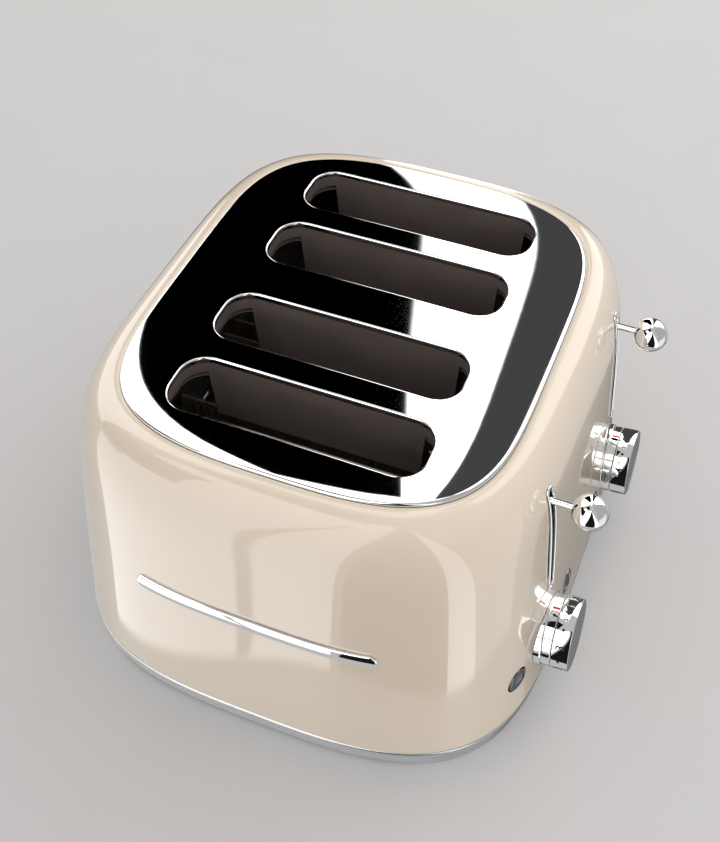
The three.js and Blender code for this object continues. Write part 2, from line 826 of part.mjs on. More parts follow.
// Carriage: slides on the guide rod, carries two racks and the lever, and meets the magnet.
function carriage(side) {
  const y = unitY(side);
  const z = rackRestZ;
  const tabY = leverY(side) + side * 3.5;
  const magnetY = y - side * magnetOffsetY;
  const armatureZ = leverRestZ - armatureDrop;
  const plate = box(
    rodX - 5, y - slotPitch / 2 - 4, z - 6,
    rodX - 3.6, y + slotPitch / 2 + 4, z + 8,
  );
  const sleeve = rod("z", rodRadius + 2.4, [rodX, y, z - 6], [rodX, y, leverRestZ + 4], 14);
  const tab = box(
    rodX - 4, Math.min(y, tabY), leverRestZ - 4,
    rodX + 7 - seatGap, Math.max(y, tabY), leverRestZ + 4,
  );
  const armature = box(
    rodX - 2, Math.min(y, magnetY - side * 6), armatureZ,
    rodX + 13, Math.max(y, magnetY - side * 6), armatureZ + 2.5,
  );
  const bore = rod("z", rodRadius + clearance, [rodX, y, z - 20], [rodX, y, leverRestZ + 20], 14);
  const made = union([plate, sleeve, tab, armature]).subtract(bore);
  place("carriage_" + unitNames[side], made, finish.zincSteel);
}

function guideRod(side) {
  const y = unitY(side);
  const lowZ = endPlateBottomZ + endPlateThickness + seatGap;
  const made = rod("z", rodRadius, [rodX, y, lowZ], [rodX, y, frameZ - seatGap], 12);
  place("guide_rod_" + unitNames[side], made, finish.chrome);
}

// Latch magnet: a yoke on the shelf with a wound core that the armature comes down on.
function latchMagnet(side) {
  const x = rodX + 7.5;
  const y = unitY(side) - side * magnetOffsetY;
  const lowZ = endPlateBottomZ + endPlateThickness + seatGap;
  const topZ = leverRestZ - armatureDrop - leverTravel - seatGap;
  const yoke = box(x - 5.5, y - 6, lowZ, x + 5.5, y + 6, lowZ + 2.5);
  const core = rod("z", 2.5, [x, y, lowZ], [x, y, topZ], 12);
  const winding = rod("z", 5.2, [x, y, lowZ + 2], [x, y, topZ - 1.5], 14);
  place("latch_magnet_" + unitNames[side], union([yoke, core, winding]), finish.coil);
}

// Return spring: hangs from the inner frame and lifts the carriage. It is its outer tube.
function returnSpring(side) {
  const y = unitY(side) + side * (slotPitch / 2 - 3);
  const lowZ = rackRestZ + 8 + seatGap;
  const highZ = frameZ - seatGap;
  const profile = [[1.6, lowZ], [2.8, lowZ], [2.8, highZ], [1.6, highZ], [1.6, lowZ]];
  const g = new THREE.LatheGeometry(
    profile.map(([radius, along]) => new THREE.Vector2(radius, along)),
    12,
  );
  g.rotateX(Math.PI / 2);
  g.translate(rodX - 4.3, y, 0);
  place("return_spring_" + unitNames[side], toSolid(g), finish.wire);
}

// A plain raised bar with round ends across the front.
function badge() {
  const shape = roundedRectangle(badgeHalfLength, badgeHeight / 2, badgeHeight / 2);
  const depth = shellBaseY + 5;
  const g = new THREE.ExtrudeGeometry(shape, { depth, bevelEnabled: false, curveSegments: 4 });
  g.rotateX(Math.PI / 2);
  g.translate(0, 0, badgeZ);
  const trim = bodyBlock(-seatGap - badgeProud).subtract(bodyBlock(-seatGap)).intersect(toSolid(g));
  place("front_badge", trim, finish.chrome);
}

// ---------------------------------------------------------------- assembly
outerShell();
topPlate();
slotLiner();
basePlinth();
basePan();
feet();
cordGland();
endPlates();
badge();
for (const side of unitSides) {
  crumbTray(side);
  leverTrack(side);
  lever(side);
  dialCollar(side);
  dial(side);
  dialControl(side);
  buttons(side);
  controlBoard(side);
  heaterCards(side);
  carriage(side);
  guideRod(side);
  latchMagnet(side);
  returnSpring(side);
  for (const half of slotSides) {
    breadRack(side, half);
    for (const hand of slotSides) breadGuard(side, half, hand);
  }
}

// The controls stand out on one side, so the whole outline's centre is off the shell's.
const outline = new THREE.Box3().setFromObject(toaster);
toaster.position.x = -(outline.min.x + outline.max.x) / 2;

export default toaster;
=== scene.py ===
"""Pop-up toaster with four long slots: the visual model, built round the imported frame.

Sizes are millimetres in the shell's own frame, whose X = 0 and Y = 0 are the middle of the shell
and whose Z = 0 is the surface that the feet stand on. A mesh becomes metres, in the frame's place,
when it is made. +X is the side with the levers and dials, and -Y is the front.
"""

import logging
import math
from collections.abc import Callable
from dataclasses import dataclass, field
from enum import Enum

import bmesh
import bpy
import numpy as np
from bpy.types import Material, Mesh, Node, NodeSocket, NodeTree, Object
from mathutils import Matrix, Vector
from mathutils.geometry import delaunay_2d_cdt


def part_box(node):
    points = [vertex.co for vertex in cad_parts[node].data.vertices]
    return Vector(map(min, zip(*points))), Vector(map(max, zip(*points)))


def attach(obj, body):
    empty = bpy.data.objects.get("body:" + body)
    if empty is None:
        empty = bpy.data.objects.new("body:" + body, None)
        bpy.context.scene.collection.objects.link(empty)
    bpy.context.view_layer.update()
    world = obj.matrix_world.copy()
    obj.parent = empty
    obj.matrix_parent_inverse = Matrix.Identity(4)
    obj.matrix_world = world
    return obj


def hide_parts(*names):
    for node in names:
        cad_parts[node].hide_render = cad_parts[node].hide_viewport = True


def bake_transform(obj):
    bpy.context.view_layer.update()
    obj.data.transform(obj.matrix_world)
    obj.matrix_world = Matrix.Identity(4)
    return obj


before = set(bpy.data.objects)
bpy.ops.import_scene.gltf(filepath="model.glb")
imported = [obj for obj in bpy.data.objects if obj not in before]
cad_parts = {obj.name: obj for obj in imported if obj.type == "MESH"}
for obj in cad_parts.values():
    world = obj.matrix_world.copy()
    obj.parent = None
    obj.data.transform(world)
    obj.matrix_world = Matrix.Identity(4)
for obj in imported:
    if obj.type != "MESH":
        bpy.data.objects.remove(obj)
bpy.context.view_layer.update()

MM = 0.001
SHARP_EDGE = math.radians(34)
log = logging.getLogger("toaster")


def frame_shift() -> float:
    """How far the shell's middle stands from the frame's, along X, in millimetres."""
    low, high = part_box("outer_shell")
    return (low.x + high.x) / 2 / MM


SHIFT_X = frame_shift()


def to_frame(point: tuple[float, float, float]) -> tuple[float, float, float]:
    """A point of the shell's frame, in millimetres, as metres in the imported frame."""
    return ((point[0] + SHIFT_X) * MM, point[1] * MM, point[2] * MM)


class Unit(Enum):
    """The two toasting units, by the side of the middle that they stand on."""

    FRONT = -1
    REAR = 1

    @property
    def label(self) -> str:
        """The word that the unit's nodes and bodies carry."""
        return self.name.lower()


# ------------------------------------------------------------------------------- finishes
def add_node(tree: NodeTree, kind: str, inputs: dict | None = None, **settings) -> Node:
    """Adds a node to a tree.

    Args:
        tree: the shader or geometry tree.
        kind: the node's type.
        inputs: by input name or place, a value, a socket to link, or a node whose first output
            is linked.
        settings: the node's own properties.

    Returns:
        The node.
    """
    node = tree.nodes.new(kind)
    for name, value in settings.items():
        setattr(node, name, value)
    for key, value in (inputs or {}).items():
        if isinstance(value, Node):
            value = value.outputs[0]
        if isinstance(value, NodeSocket):
            tree.links.new(value, node.inputs[key])
        else:
            node.inputs[key].default_value = value
    return node


def linear(hex_colour: str) -> tuple[float, float, float, float]:
    """An sRGB hex colour as linear values with alpha 1."""
    values = [int(hex_colour[i : i + 2], 16) / 255 for i in (1, 3, 5)]
    return (*[v / 12.92 if v <= 0.04045 else ((v + 0.055) / 1.055) ** 2.4 for v in values], 1.0)


@dataclass(frozen=True)
class Finish:
    """A surface as it is made: its colours, its gloss, and the size of its pattern.

    The pattern is a noise whose grain is counted in millimetres. It shifts the colour between two
    shades and lifts the surface by a bump.
    """

    name: str
    light: str
    dark: str
    metallic: float = 0.0
    roughness: float = 0.4
    rough_swing: float = 0.0
    grain: float = 2.0
    stretch: tuple[float, float, float] = (1.0, 1.0, 1.0)
    bump: float = 0.0
    coat: float = 0.0
    coat_roughness: float = 0.03
    anisotropy: float = 0.0
    specular: float = 0.5

    def pattern(self, tree: NodeTree, place: NodeSocket) -> NodeSocket:
        """The finish's pattern as a value from 0 to 1.

        Args:
            tree: the material's tree.
            place: object coordinates in metres.

        Returns:
            The socket with the pattern's value.
        """
        stretched = add_node(tree, "ShaderNodeMapping", {"Vector": place, "Scale": self.stretch})
        noise = add_node(
            tree,
            "ShaderNodeTexNoise",
            {"Vector": stretched, "Scale": 1 / (self.grain * MM), "Detail": 3.0},
        )
        return noise.outputs[0]

    def colour(self, tree: NodeTree, value: NodeSocket) -> NodeSocket:
        """The finish's colour, between its two shades by its pattern."""
        return add_node(
            tree,
            "ShaderNodeMix",
            {0: value, 6: linear(self.dark), 7: linear(self.light)},
            data_type="RGBA",
        ).outputs[2]

    def material(self) -> Material:
        """The finish as a material, made once.

        Returns:
            The material.
        """
        known = bpy.data.materials.get(self.name)
        if known is not None:
            return known
        made = bpy.data.materials.new(self.name)
        made.use_nodes = True
        tree = made.node_tree
        tree.nodes.clear()
        place = add_node(tree, "ShaderNodeTexCoord").outputs["Object"]
        value = self.pattern(tree, place)
        inputs = {
            "Base Color": self.colour(tree, value),
            "Metallic": self.metallic,
            "Roughness": self.roughness,
            "Coat Weight": self.coat,
            "Coat Roughness": self.coat_roughness,
            "Specular IOR Level": self.specular,
            "Anisotropic": self.anisotropy,
        }
        if self.rough_swing:
            rough = add_node(
                tree,
                "ShaderNodeMapRange",
                {
                    "Value": value,
                    "To Min": self.roughness - self.rough_swing,
                    "To Max": self.roughness + self.rough_swing,
                },
            )
            inputs["Roughness"] = rough.outputs[0]
        if self.bump:
            bump = add_node(
                tree,
                "ShaderNodeBump",
                {"Height": value, "Strength": 1.0, "Distance": self.bump * MM},
            )
            inputs["Normal"] = bump.outputs[0]
        shader = add_node(tree, "ShaderNodeBsdfPrincipled", inputs)
        add_node(tree, "ShaderNodeOutputMaterial", {"Surface": shader})
        return made

    def dress(self, piece: Object) -> None:
        """Gives the finish to every material slot of a piece."""
        made = self.material()
        if not piece.material_slots:
            piece.data.materials.append(made)
        for place in piece.material_slots:
            place.material = made


@dataclass(frozen=True)
class EnamelFinish(Finish):
    """Stoved enamel whose back and cut edges show only the dark ground coat."""

    ground: str = "#1E1B1A"

    def colour(self, tree: NodeTree, value: NodeSocket) -> NodeSocket:
        """The top coat where the face attribute "outside" is 1, the ground coat where it is 0."""
        top = super().colour(tree, value)
        outside = add_node(tree, "ShaderNodeAttribute", {}, attribute_name="outside")
        return add_node(
            tree,
            "ShaderNodeMix",
            {0: outside.outputs["Fac"], 6: linear(self.ground), 7: top},
            data_type="RGBA",
        ).outputs[2]


@dataclass(frozen=True)
class BandedFinish(Finish):
    """A finish whose pattern is even bands, such as turned grooves, a winding or board traces."""

    axis: str = "Z"
    band: float = 1.0
    distortion: float = 0.0

    def pattern(self, tree: NodeTree, place: NodeSocket) -> NodeSocket:
        """The bands as a value from 0 to 1. See Finish.pattern."""
        full_turn_scale = 0.05
        wave = add_node(
            tree,
            "ShaderNodeTexWave",
            {
                "Vector": place,
                "Scale": full_turn_scale * math.tau / (self.band * MM),
                "Distortion": self.distortion,
            },
            bands_direction=self.axis,
        )
        return wave.outputs["Fac"]


@dataclass(frozen=True)
class SpangledFinish(Finish):
    """A finish made of flat crystals or flakes, each in its own shade."""

    def pattern(self, tree: NodeTree, place: NodeSocket) -> NodeSocket:
        """The shade of each crystal from 0 to 1. See Finish.pattern."""
        cells = add_node(
            tree, "ShaderNodeTexVoronoi", {"Vector": place, "Scale": 1 / (self.grain * MM)}
        )
        split = add_node(tree, "ShaderNodeSeparateColor", {"Color": cells.outputs["Color"]})
        return split.outputs[0]


# Vitreous-look stoved enamel on pressed steel: an even cream under a clear, glassy coat.
CREAM_ENAMEL = EnamelFinish(
    "cream_stoved_enamel", "#D1C3B2", "#CEC0AF", roughness=0.3, grain=60.0, coat=1.0,
    coat_roughness=0.012, specular=0.3,
)
# Polished chrome plate: a mirror, a little cooler than silver, with the faintest haze.
CHROME = Finish(
    "polished_chrome_plate", "#F1F2F3", "#ECEDEE", metallic=1.0, roughness=0.025,
    rough_swing=0.012, grain=22.0,
)
# Satin chrome on the plinth: fine lengthwise polishing lines soften what it mirrors.
SATIN_CHROME = Finish(
    "satin_chrome_plate", "#D2D3D5", "#C4C6C8", metallic=1.0, roughness=0.24, rough_swing=0.05,
    grain=0.9, stretch=(0.06, 0.06, 1.0), bump=0.004,
)
# Black-nickel plate on the push buttons: a dark mirror with turned lines in the dished face.
DARK_CHROME = Finish(
    "black_nickel_plate", "#77797B", "#66686A", metallic=1.0, roughness=0.16, rough_swing=0.04,
    grain=1.4, bump=0.003,
)
# Pressed steel inside the slots, browned by heat: dull, dark and slightly warm.
HEATED_STEEL = Finish(
    "heat_browned_steel", "#8E827C", "#786D68", metallic=0.6, roughness=0.42, rough_swing=0.08,
    grain=14.0, stretch=(0.4, 1.0, 1.0),
)
# Electro-zinc plated sheet: grey crystals of slightly different shade.
ZINC_STEEL = SpangledFinish(
    "zinc_plated_sheet", "#B4B7B9", "#9DA1A4", metallic=1.0, roughness=0.4, rough_swing=0.06,
    grain=5.0,
)
# Crumb-tray aluminised sheet: brushed along the tray.
TRAY_STEEL = Finish(
    "aluminised_tray_sheet", "#BFC1C2", "#ABADAF", metallic=1.0, roughness=0.32, rough_swing=0.06,
    grain=1.2, stretch=(0.05, 1.0, 1.0), bump=0.004,
)
# Drawn steel wire: bright, with drawing lines.
STEEL_WIRE = Finish(
    "drawn_steel_wire", "#A8A49E", "#8C8781", metallic=1.0, roughness=0.3, rough_swing=0.06,
    grain=3.0, stretch=(0.3, 1.0, 0.3),
)
# Centreless-ground steel rod: fine rings round it.
GROUND_STEEL = BandedFinish(
    "ground_steel_rod", "#C2C4C5", "#ADAFB1", metallic=1.0, roughness=0.16, band=0.9, bump=0.004
)
# Nitrile rubber: matt black with a fine moulded grain.
RUBBER = Finish(
    "moulded_black_rubber", "#2A2A2B", "#202021", roughness=0.78, grain=0.5, bump=0.03, specular=0.3
)
# Glass-filled nylon: black, with a spark-eroded texture.
BLACK_PLASTIC = Finish(
    "black_moulded_nylon", "#2C2C2E", "#232325", roughness=0.48, rough_swing=0.07, grain=0.6,
    bump=0.02,
)
# Mica board: flat flakes in dark browns, darker than clean mica as painted shade for the deep
# inside of the slots.
MICA = SpangledFinish(
    "mica_sheet", "#57493A", "#463A2E", roughness=0.5, rough_swing=0.12, grain=3.5, specular=0.6
)
# Nichrome ribbon, oxidised grey-brown by use.
NICHROME = Finish(
    "oxidised_nichrome_ribbon", "#7A6C62", "#54483F", metallic=0.9, roughness=0.45, grain=2.5
)
# Enamelled copper wire wound in close turns.
COPPER_WINDING = BandedFinish(
    "enamelled_copper_winding", "#B4663A", "#6E341A", metallic=0.7, roughness=0.32, band=0.7,
    bump=0.12,
)
# Glass-epoxy board with a green solder mask over its copper traces.
CIRCUIT_BOARD = BandedFinish(
    "green_solder_mask_board", "#3C7A4C", "#245034", roughness=0.32, axis="Y", band=3.2,
    distortion=6.0, bump=0.02,
)
# Pad-printed ink on chrome: flat black for the numbers, red for the pointer.
BLACK_INK = Finish("black_pad_print_ink", "#121213", "#0C0C0D", roughness=0.45, grain=1.0)
RED_INK = Finish("red_pad_print_ink", "#D8241F", "#C81E1A", roughness=0.4, grain=1.0)


# ------------------------------------------------------------------------------- meshes
def evaluated_mesh(piece: Object) -> Mesh:
    """A piece's mesh with its modifiers applied."""
    bpy.context.view_layer.update()
    graph = bpy.context.evaluated_depsgraph_get()
    return bpy.data.meshes.new_from_object(piece.evaluated_get(graph))


class MeshDraft:
    """Points in millimetres and faces, gathered ring by ring and then made one piece."""

    def __init__(self) -> None:
        """Starts with nothing."""
        self.points: list[np.ndarray] = []
        self.faces: list[tuple[int, ...]] = []
        self.count = 0

    def add(self, points: np.ndarray) -> int:
        """Adds points and returns the number of the first."""
        start = self.count
        self.points.append(np.asarray(points, float).reshape(-1, 3))
        self.count += len(self.points[-1])
        return start

    def skin(self, rings: list[np.ndarray], through: bool = True, around: bool = True) -> None:
        """Covers rings of the same number of points with quads.

        Args:
            rings: the rings in order.
            through: the last ring joins the first, as round a wall with two faces.
            around: the last point of each ring joins its first.
        """
        size = len(rings[0])
        start = self.add(np.concatenate(rings))
        rows = len(rings) if through else len(rings) - 1
        columns = size if around else size - 1
        for i in range(rows):
            a, b = start + i * size, start + ((i + 1) % len(rings)) * size
            for j in range(columns):
                k = (j + 1) % size
                self.faces.append((a + j, a + k, b + k, b + j))

    def cap(self, ring: np.ndarray) -> None:
        """Closes a ring that was already skinned with one face over the same points."""
        start = self.add(ring)
        self.faces.append(tuple(range(start, start + len(ring))))

    def solid(self, rings: list[np.ndarray]) -> None:
        """Covers rings with quads and closes both ends."""
        self.skin(rings, through=False)
        self.cap(rings[0])
        self.cap(rings[-1])

    def join(self, points: np.ndarray, faces: list[tuple[int, ...]]) -> int:
        """Adds a ready mesh's points and faces, and returns the number of its first point."""
        start = self.add(points)
        self.faces += [tuple(start + i for i in face) for face in faces]
        return start

    def tube(self, path: np.ndarray, radius: float, sides: int = 10) -> None:
        """A closed bar of round section along a path of points.

        Args:
            path: the middle line.
            radius: the bar's radius.
            sides: the points round it.
        """
        along = np.gradient(path, axis=0)
        along /= np.linalg.norm(along, axis=1)[:, None]
        side = np.cross(along[0], [0.3, 0.5, 0.8])
        rings = []
        for point, way in zip(path, along):
            side = side - way * (side @ way)
            side /= np.linalg.norm(side)
            other = np.cross(way, side)
            turn = np.linspace(0, math.tau, sides, endpoint=False)[:, None]
            rings.append(point + radius * (np.cos(turn) * side + np.sin(turn) * other))
        self.solid(rings)

    def make(self, name: str, finish: Finish, sharp: float = SHARP_EDGE) -> Object:
        """Turns the draft into a piece with closed, outward faces.

        Args:
            name: the piece's name.
            finish: its finish.
            sharp: the angle past which an edge stays sharp.

        Returns:
            The piece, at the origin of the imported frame.
        """
        points = np.concatenate(self.points)
        points = (points + [SHIFT_X, 0, 0]) * MM
        mesh = bpy.data.meshes.new(name)
        mesh.from_pydata(points.tolist(), [], self.faces)
        return make_piece(mesh, name, finish, sharp)


def make_piece(
    mesh: Mesh, name: str, finish: Finish | None, sharp: float = SHARP_EDGE
) -> Object:
    """Merges doubles, turns the faces out, smooths and dresses a mesh.

    Args:
        mesh: the mesh, in metres, in its place.
        name: the piece's name.
        finish: its finish, or None where the mesh already has its materials.
        sharp: the angle past which an edge stays sharp.

    Returns:
        The piece.
    """
    merge_distance = 2e-6
    work = bmesh.new()
    work.from_mesh(mesh)
    bmesh.ops.remove_doubles(work, verts=work.verts, dist=merge_distance)
    bmesh.ops.dissolve_degenerate(work, edges=work.edges, dist=merge_distance / 2)
    bmesh.ops.recalc_face_normals(work, faces=work.faces)
    work.to_mesh(mesh)
    work.free()
    mesh.shade_smooth()
    mesh.set_sharp_from_angle(angle=sharp)
    piece = bpy.data.objects.new(name, mesh)
    bpy.context.scene.collection.objects.link(piece)
    if finish is not None:
        finish.dress(piece)
    return piece


def arc(centre: tuple[float, float], radius: float, start: float, end: float, steps: int) -> list:
    """Points of an arc in a plane, from one angle to another in degrees."""
    turn = np.radians(np.linspace(start, end, steps))
    return [(centre[0] + radius * math.cos(t), centre[1] + radius * math.sin(t)) for t in turn]


def stadium(half_x: float, half_y: float, corner: float, steps: int = 14) -> np.ndarray:
    """A rectangle with round corners, anticlockwise, with points along its straight sides too.

    Args:
        half_x: half its length along X.
        half_y: half its length along Y.
        corner: the corner radius.
        steps: points round each corner.

    Returns:
        The points, two numbers each.
    """
    corner = min(corner, half_x, half_y)
    centres = [(1, 1), (-1, 1), (-1, -1), (1, -1)]
    points: list[tuple[float, float]] = []
    for i, (sx, sy) in enumerate(centres):
        middle = (sx * (half_x - corner), sy * (half_y - corner))
        points += arc(middle, corner, 90 * i, 90 * (i + 1), steps)
    spacing = 5.0
    filled = []
    for a, b in zip(points, points[1:] + points[:1]):
        pieces = max(1, round(math.dist(a, b) / spacing))
        if math.dist(a, b) > 1e-6:
            filled += [
                (a[0] + (b[0] - a[0]) * k / pieces, a[1] + (b[1] - a[1]) * k / pieces)
                for k in range(pieces)
            ]
    return np.array(filled)


def with_height(outline: np.ndarray, z: float | np.ndarray) -> np.ndarray:
    """Plane points with a height as a third number."""
    return np.column_stack([outline, np.broadcast_to(z, len(outline))])


def rounded_face(proud: float, edge: float) -> list[tuple[float, float]]:
    """Pairs of inset and height where a side turns over a round edge into a proud face."""
    turns = np.radians([30, 60, 90])
    return [(edge * (1 - math.cos(t)), proud - edge + edge * math.sin(t)) for t in turns]


def thin_solid(loop: np.ndarray, half: float = 0.12) -> tuple[np.ndarray, list[tuple[int, ...]]]:
    """A plane loop as the points and faces of a thin closed solid about Z = 0."""
    size = len(loop)
    points = np.concatenate([with_height(loop, -half), with_height(loop, half)])
    faces = [(i, (i + 1) % size, size + (i + 1) % size, size + i) for i in range(size)]
    return points, [*faces, tuple(reversed(range(size))), tuple(range(size, 2 * size))]


@dataclass(frozen=True)
class BodyForm:
    """The shape of the pressed body: a rounded-square outline that tapers up to a shoulder.

    The half widths shrink evenly up the side and then ever faster round the shoulder, and the
    outline's squareness goes from the base's to the top's.
    """

    top_x: float = 112.5
    top_y: float = 132.45
    flare_x: float = 36.0
    flare_y: float = 36.5
    bottom_z: float = 16.0
    top_z: float = 192.0
    taper: float = 0.44
    shoulder: float = 9.7
    base_square: tuple[float, float] = (3.12, 4.15)
    top_square: tuple[float, float] = (3.03, 4.7)
    quarter: int = 72

    @property
    def tilt(self) -> float:
        """How far the straight side leans from upright, in radians."""
        return math.atan(self.flare_x * self.taper / (self.top_z - self.bottom_z))

    def section(self, z: float | np.ndarray) -> tuple:
        """Half widths and squareness of the outline at a height.

        Args:
            z: the height or heights.

        Returns:
            Half width along X and Y, then the exponents along X and Y.
        """
        t = np.clip((np.asarray(z, float) - self.bottom_z) / (self.top_z - self.bottom_z), 0, 1)
        round_off = (1 - self.taper) * (1 - np.sqrt(1 - t**self.shoulder))
        flare = 1 - self.taper * t - round_off
        square = [b + (a - b) * flare for a, b in zip(self.base_square, self.top_square)]
        return self.top_x + self.flare_x * flare, self.top_y + self.flare_y * flare, *square

    def ring(self, z: float, inset: float = 0.0, share: float = 1.0) -> np.ndarray:
        """The outline at a height as points evenly spaced in each quarter.

        Args:
            z: the height.
            inset: how far the outline is moved in.
            share: a scale about the middle.

        Returns:
            The points, three numbers each.
        """
        x, y, px, py = self.section(z)
        turn = np.linspace(0, math.pi / 2, 700)
        turn = turn - 0.25 * np.sin(4 * turn) * 0.9
        across = (x - inset) * share * np.cos(turn) ** (2 / px)
        deep = (y - inset) * share * np.sin(turn) ** (2 / py)
        across[-1], deep[0] = 0.0, 0.0
        length = np.concatenate([[0], np.cumsum(np.hypot(np.diff(across), np.diff(deep)))])
        even = np.linspace(0, length[-1], self.quarter + 1)
        qx, qy = np.interp(even, length, across), np.interp(even, length, deep)
        first = np.column_stack([qx, qy])
        second = np.column_stack([-qx, qy])[::-1]
        half = np.concatenate([first[:-1], second[:-1]])
        return with_height(np.concatenate([half, -half]), z)

    def side_x(
        self, z: float | np.ndarray, y: float | np.ndarray, proud: float = 0.0
    ) -> np.ndarray:
        """The body's half width along X at a height over a given Y, grown by proud."""
        x, half_y, px, py = self.section(z)
        share = np.clip(np.abs(y) / (half_y + proud), 0, 1)
        return (x + proud) * (1 - share**py) ** (1 / px)

    def front_y(
        self, z: float | np.ndarray, x: float | np.ndarray, proud: float = 0.0
    ) -> np.ndarray:
        """The body's half depth along Y at a height over a given X, grown by proud."""
        half_x, y, px, py = self.section(z)
        share = np.clip(np.abs(x) / (half_x + proud), 0, 1)
        return (y + proud) * (1 - share**px) ** (1 / py)

    def normals(self, points: np.ndarray) -> np.ndarray:
        """Outward directions of the smooth body at points on it.

        Args:
            points: points on or near the surface, in millimetres.

        Returns:
            Unit vectors.
        """
        step = 0.02

        def level(p: np.ndarray) -> np.ndarray:
            """1 on the surface, less inside and more outside."""
            x, y, px, py = self.section(p[:, 2])
            return np.abs(p[:, 0] / x) ** px + np.abs(p[:, 1] / y) ** py

        slopes = []
        for axis in range(3):
            move = np.zeros(3)
            move[axis] = step
            slopes.append(level(points + move) - level(points - move))
        normal = np.column_stack(slopes)
        return normal / np.maximum(np.linalg.norm(normal, axis=1), 1e-12)[:, None]


BODY = BodyForm()
PointRule = Callable[[np.ndarray], np.ndarray]


def points_of(mesh: Mesh) -> np.ndarray:
    """A mesh's points in the shell's frame, in millimetres."""
    place = np.zeros(len(mesh.vertices) * 3, np.float32)
    mesh.vertices.foreach_get("co", place)
    return place.reshape(-1, 3).astype(float) / MM - [SHIFT_X, 0, 0]


def smooth_as_pressed(piece: Object, on_surface: PointRule, direction: PointRule) -> None:
    """Gives a piece's pressed surface its exact normals, so cuts in it leave no dents in the gloss.

    Args:
        piece: the piece.
        on_surface: says for each point, in millimetres, whether it is on the pressed surface.
        direction: gives the outward direction at each point.
    """
    closest_turn = 0.93
    mesh = piece.data
    count = len(mesh.loops)
    corner = np.zeros(count * 3, np.float32)
    mesh.corner_normals.foreach_get("vector", corner)
    corner = corner.reshape(-1, 3).astype(float)
    owner = np.zeros(count, np.int32)
    mesh.loops.foreach_get("vertex_index", owner)
    points = points_of(mesh)
    wanted = direction(points)[owner]
    face_normal = np.zeros(len(mesh.polygons) * 3, np.float32)
    mesh.polygons.foreach_get("normal", face_normal)
    sizes = np.zeros(len(mesh.polygons), np.int32)
    mesh.polygons.foreach_get("loop_total", sizes)
    flat = np.repeat(face_normal.reshape(-1, 3), sizes, axis=0)
    use = on_surface(points)[owner] & ((flat * wanted).sum(1) > closest_turn)
    corner[use] = wanted[use]
    mesh.normals_split_custom_set(corner.tolist())


def cut_away(piece: Object, tools: MeshDraft) -> Mesh:
    """Cuts closed shapes out of a piece.

    Args:
        piece: the piece, which is removed.
        tools: the shapes to cut away.

    Returns:
        The cut mesh.
    """
    cutter = tools.make("cutter", RUBBER)
    cut = piece.modifiers.new("cut", "BOOLEAN")
    cut.object = cutter
    cut.solver = "EXACT"
    mesh = evaluated_mesh(piece)
    for done in (piece, cutter):
        bpy.data.objects.remove(done)
    return mesh


def on_side_axis(
    profile: list, x: float, y: float, z: float, tilt: float, steps: int
) -> list[np.ndarray]:
    """Rings of a turned shape about an axis that points out of the control side.

    Args:
        profile: pairs of radius and distance along the axis.
        x: where the axis starts.
        y: where the axis starts.
        z: where the axis starts.
        tilt: how far the axis leans up, in radians.
        steps: points round the axis.

    Returns:
        One ring for each pair.
    """
    out = np.array([math.cos(tilt), 0, math.sin(tilt)])
    up = np.array([-math.sin(tilt), 0, math.cos(tilt)])
    left = np.array([0.0, 1.0, 0.0])
    turn = np.linspace(0, math.tau, steps, endpoint=False)[:, None]
    start = np.array([x, y, z])
    return [
        start + along * out + radius * (np.cos(turn) * left + np.sin(turn) * up)
        for radius, along in profile
    ]


def sheet_with_holes(
    edge: np.ndarray, holes: list[np.ndarray], spacing: float
) -> tuple[np.ndarray, list[tuple[int, ...]]]:
    """A flat sheet between an edge and holes, with points all over it.

    Args:
        edge: the outer edge's plane points.
        holes: each hole's plane points.
        spacing: how far apart the points inside are.

    Returns:
        The plane points and the triangles. The edge's points come first, then the holes'.
    """
    loops = [edge, *holes]
    low, high = edge.min(0), edge.max(0)
    xs = np.arange(low[0] + spacing / 2, high[0], spacing)
    ys = np.arange(low[1] + spacing / 2, high[1], spacing)
    grid = np.array([(x + (i % 2) * spacing / 2, y) for i, y in enumerate(ys) for x in xs])
    grid = grid[inside(edge, grid)]
    for hole in holes:
        grid = grid[~inside(hole, grid)]
    for loop in loops:
        away = np.min(np.linalg.norm(grid[:, None] - loop[None], axis=2), axis=1)
        grid = grid[away > spacing * 0.6]
    points = np.concatenate([*loops, grid])
    borders, start = [], 0
    for loop in loops:
        size = len(loop)
        borders += [(start + i, start + (i + 1) % size) for i in range(size)]
        start += size
    found = delaunay_2d_cdt([Vector(p) for p in points], borders, [], 0, 1e-6)
    flat = np.array([tuple(p) for p in found[0]])
    faces = [tuple(f) for f in found[2]]
    middles = np.array([flat[list(f)].mean(0) for f in faces])
    keep = inside(edge, middles)
    for hole in holes:
        keep &= ~inside(hole, middles)
    return flat, [f for f, kept in zip(faces, keep) if kept]


def inside(loop: np.ndarray, points: np.ndarray) -> np.ndarray:
    """Says for each plane point whether it lies inside a closed loop."""
    result = np.zeros(len(points), bool)
    for (ax, ay), (bx, by) in zip(loop, np.roll(loop, -1, axis=0)):
        crosses = (ay > points[:, 1]) != (by > points[:, 1])
        if crosses.any():
            at = ax + (points[:, 1] - ay) * (bx - ax) / ((by - ay) or 1e-12)
            result ^= crosses & (points[:, 0] < at)
    return result


def place_piece(piece: Object, body: str, slot: str, *nodes: str) -> Object:
    """Rides a piece on a body, hides the nodes that it replaces, and logs it.

    Args:
        piece: the piece.
        body: the body that it moves with.
        slot: the record's material slot. Not used.
        nodes: the nodes that it replaces.

    Returns:
        The piece.
    """
    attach(piece, body)
    if nodes:
        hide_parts(*nodes)
    log.info("%s: %d faces, rides on %s", piece.name, len(piece.data.polygons), body)
    return piece


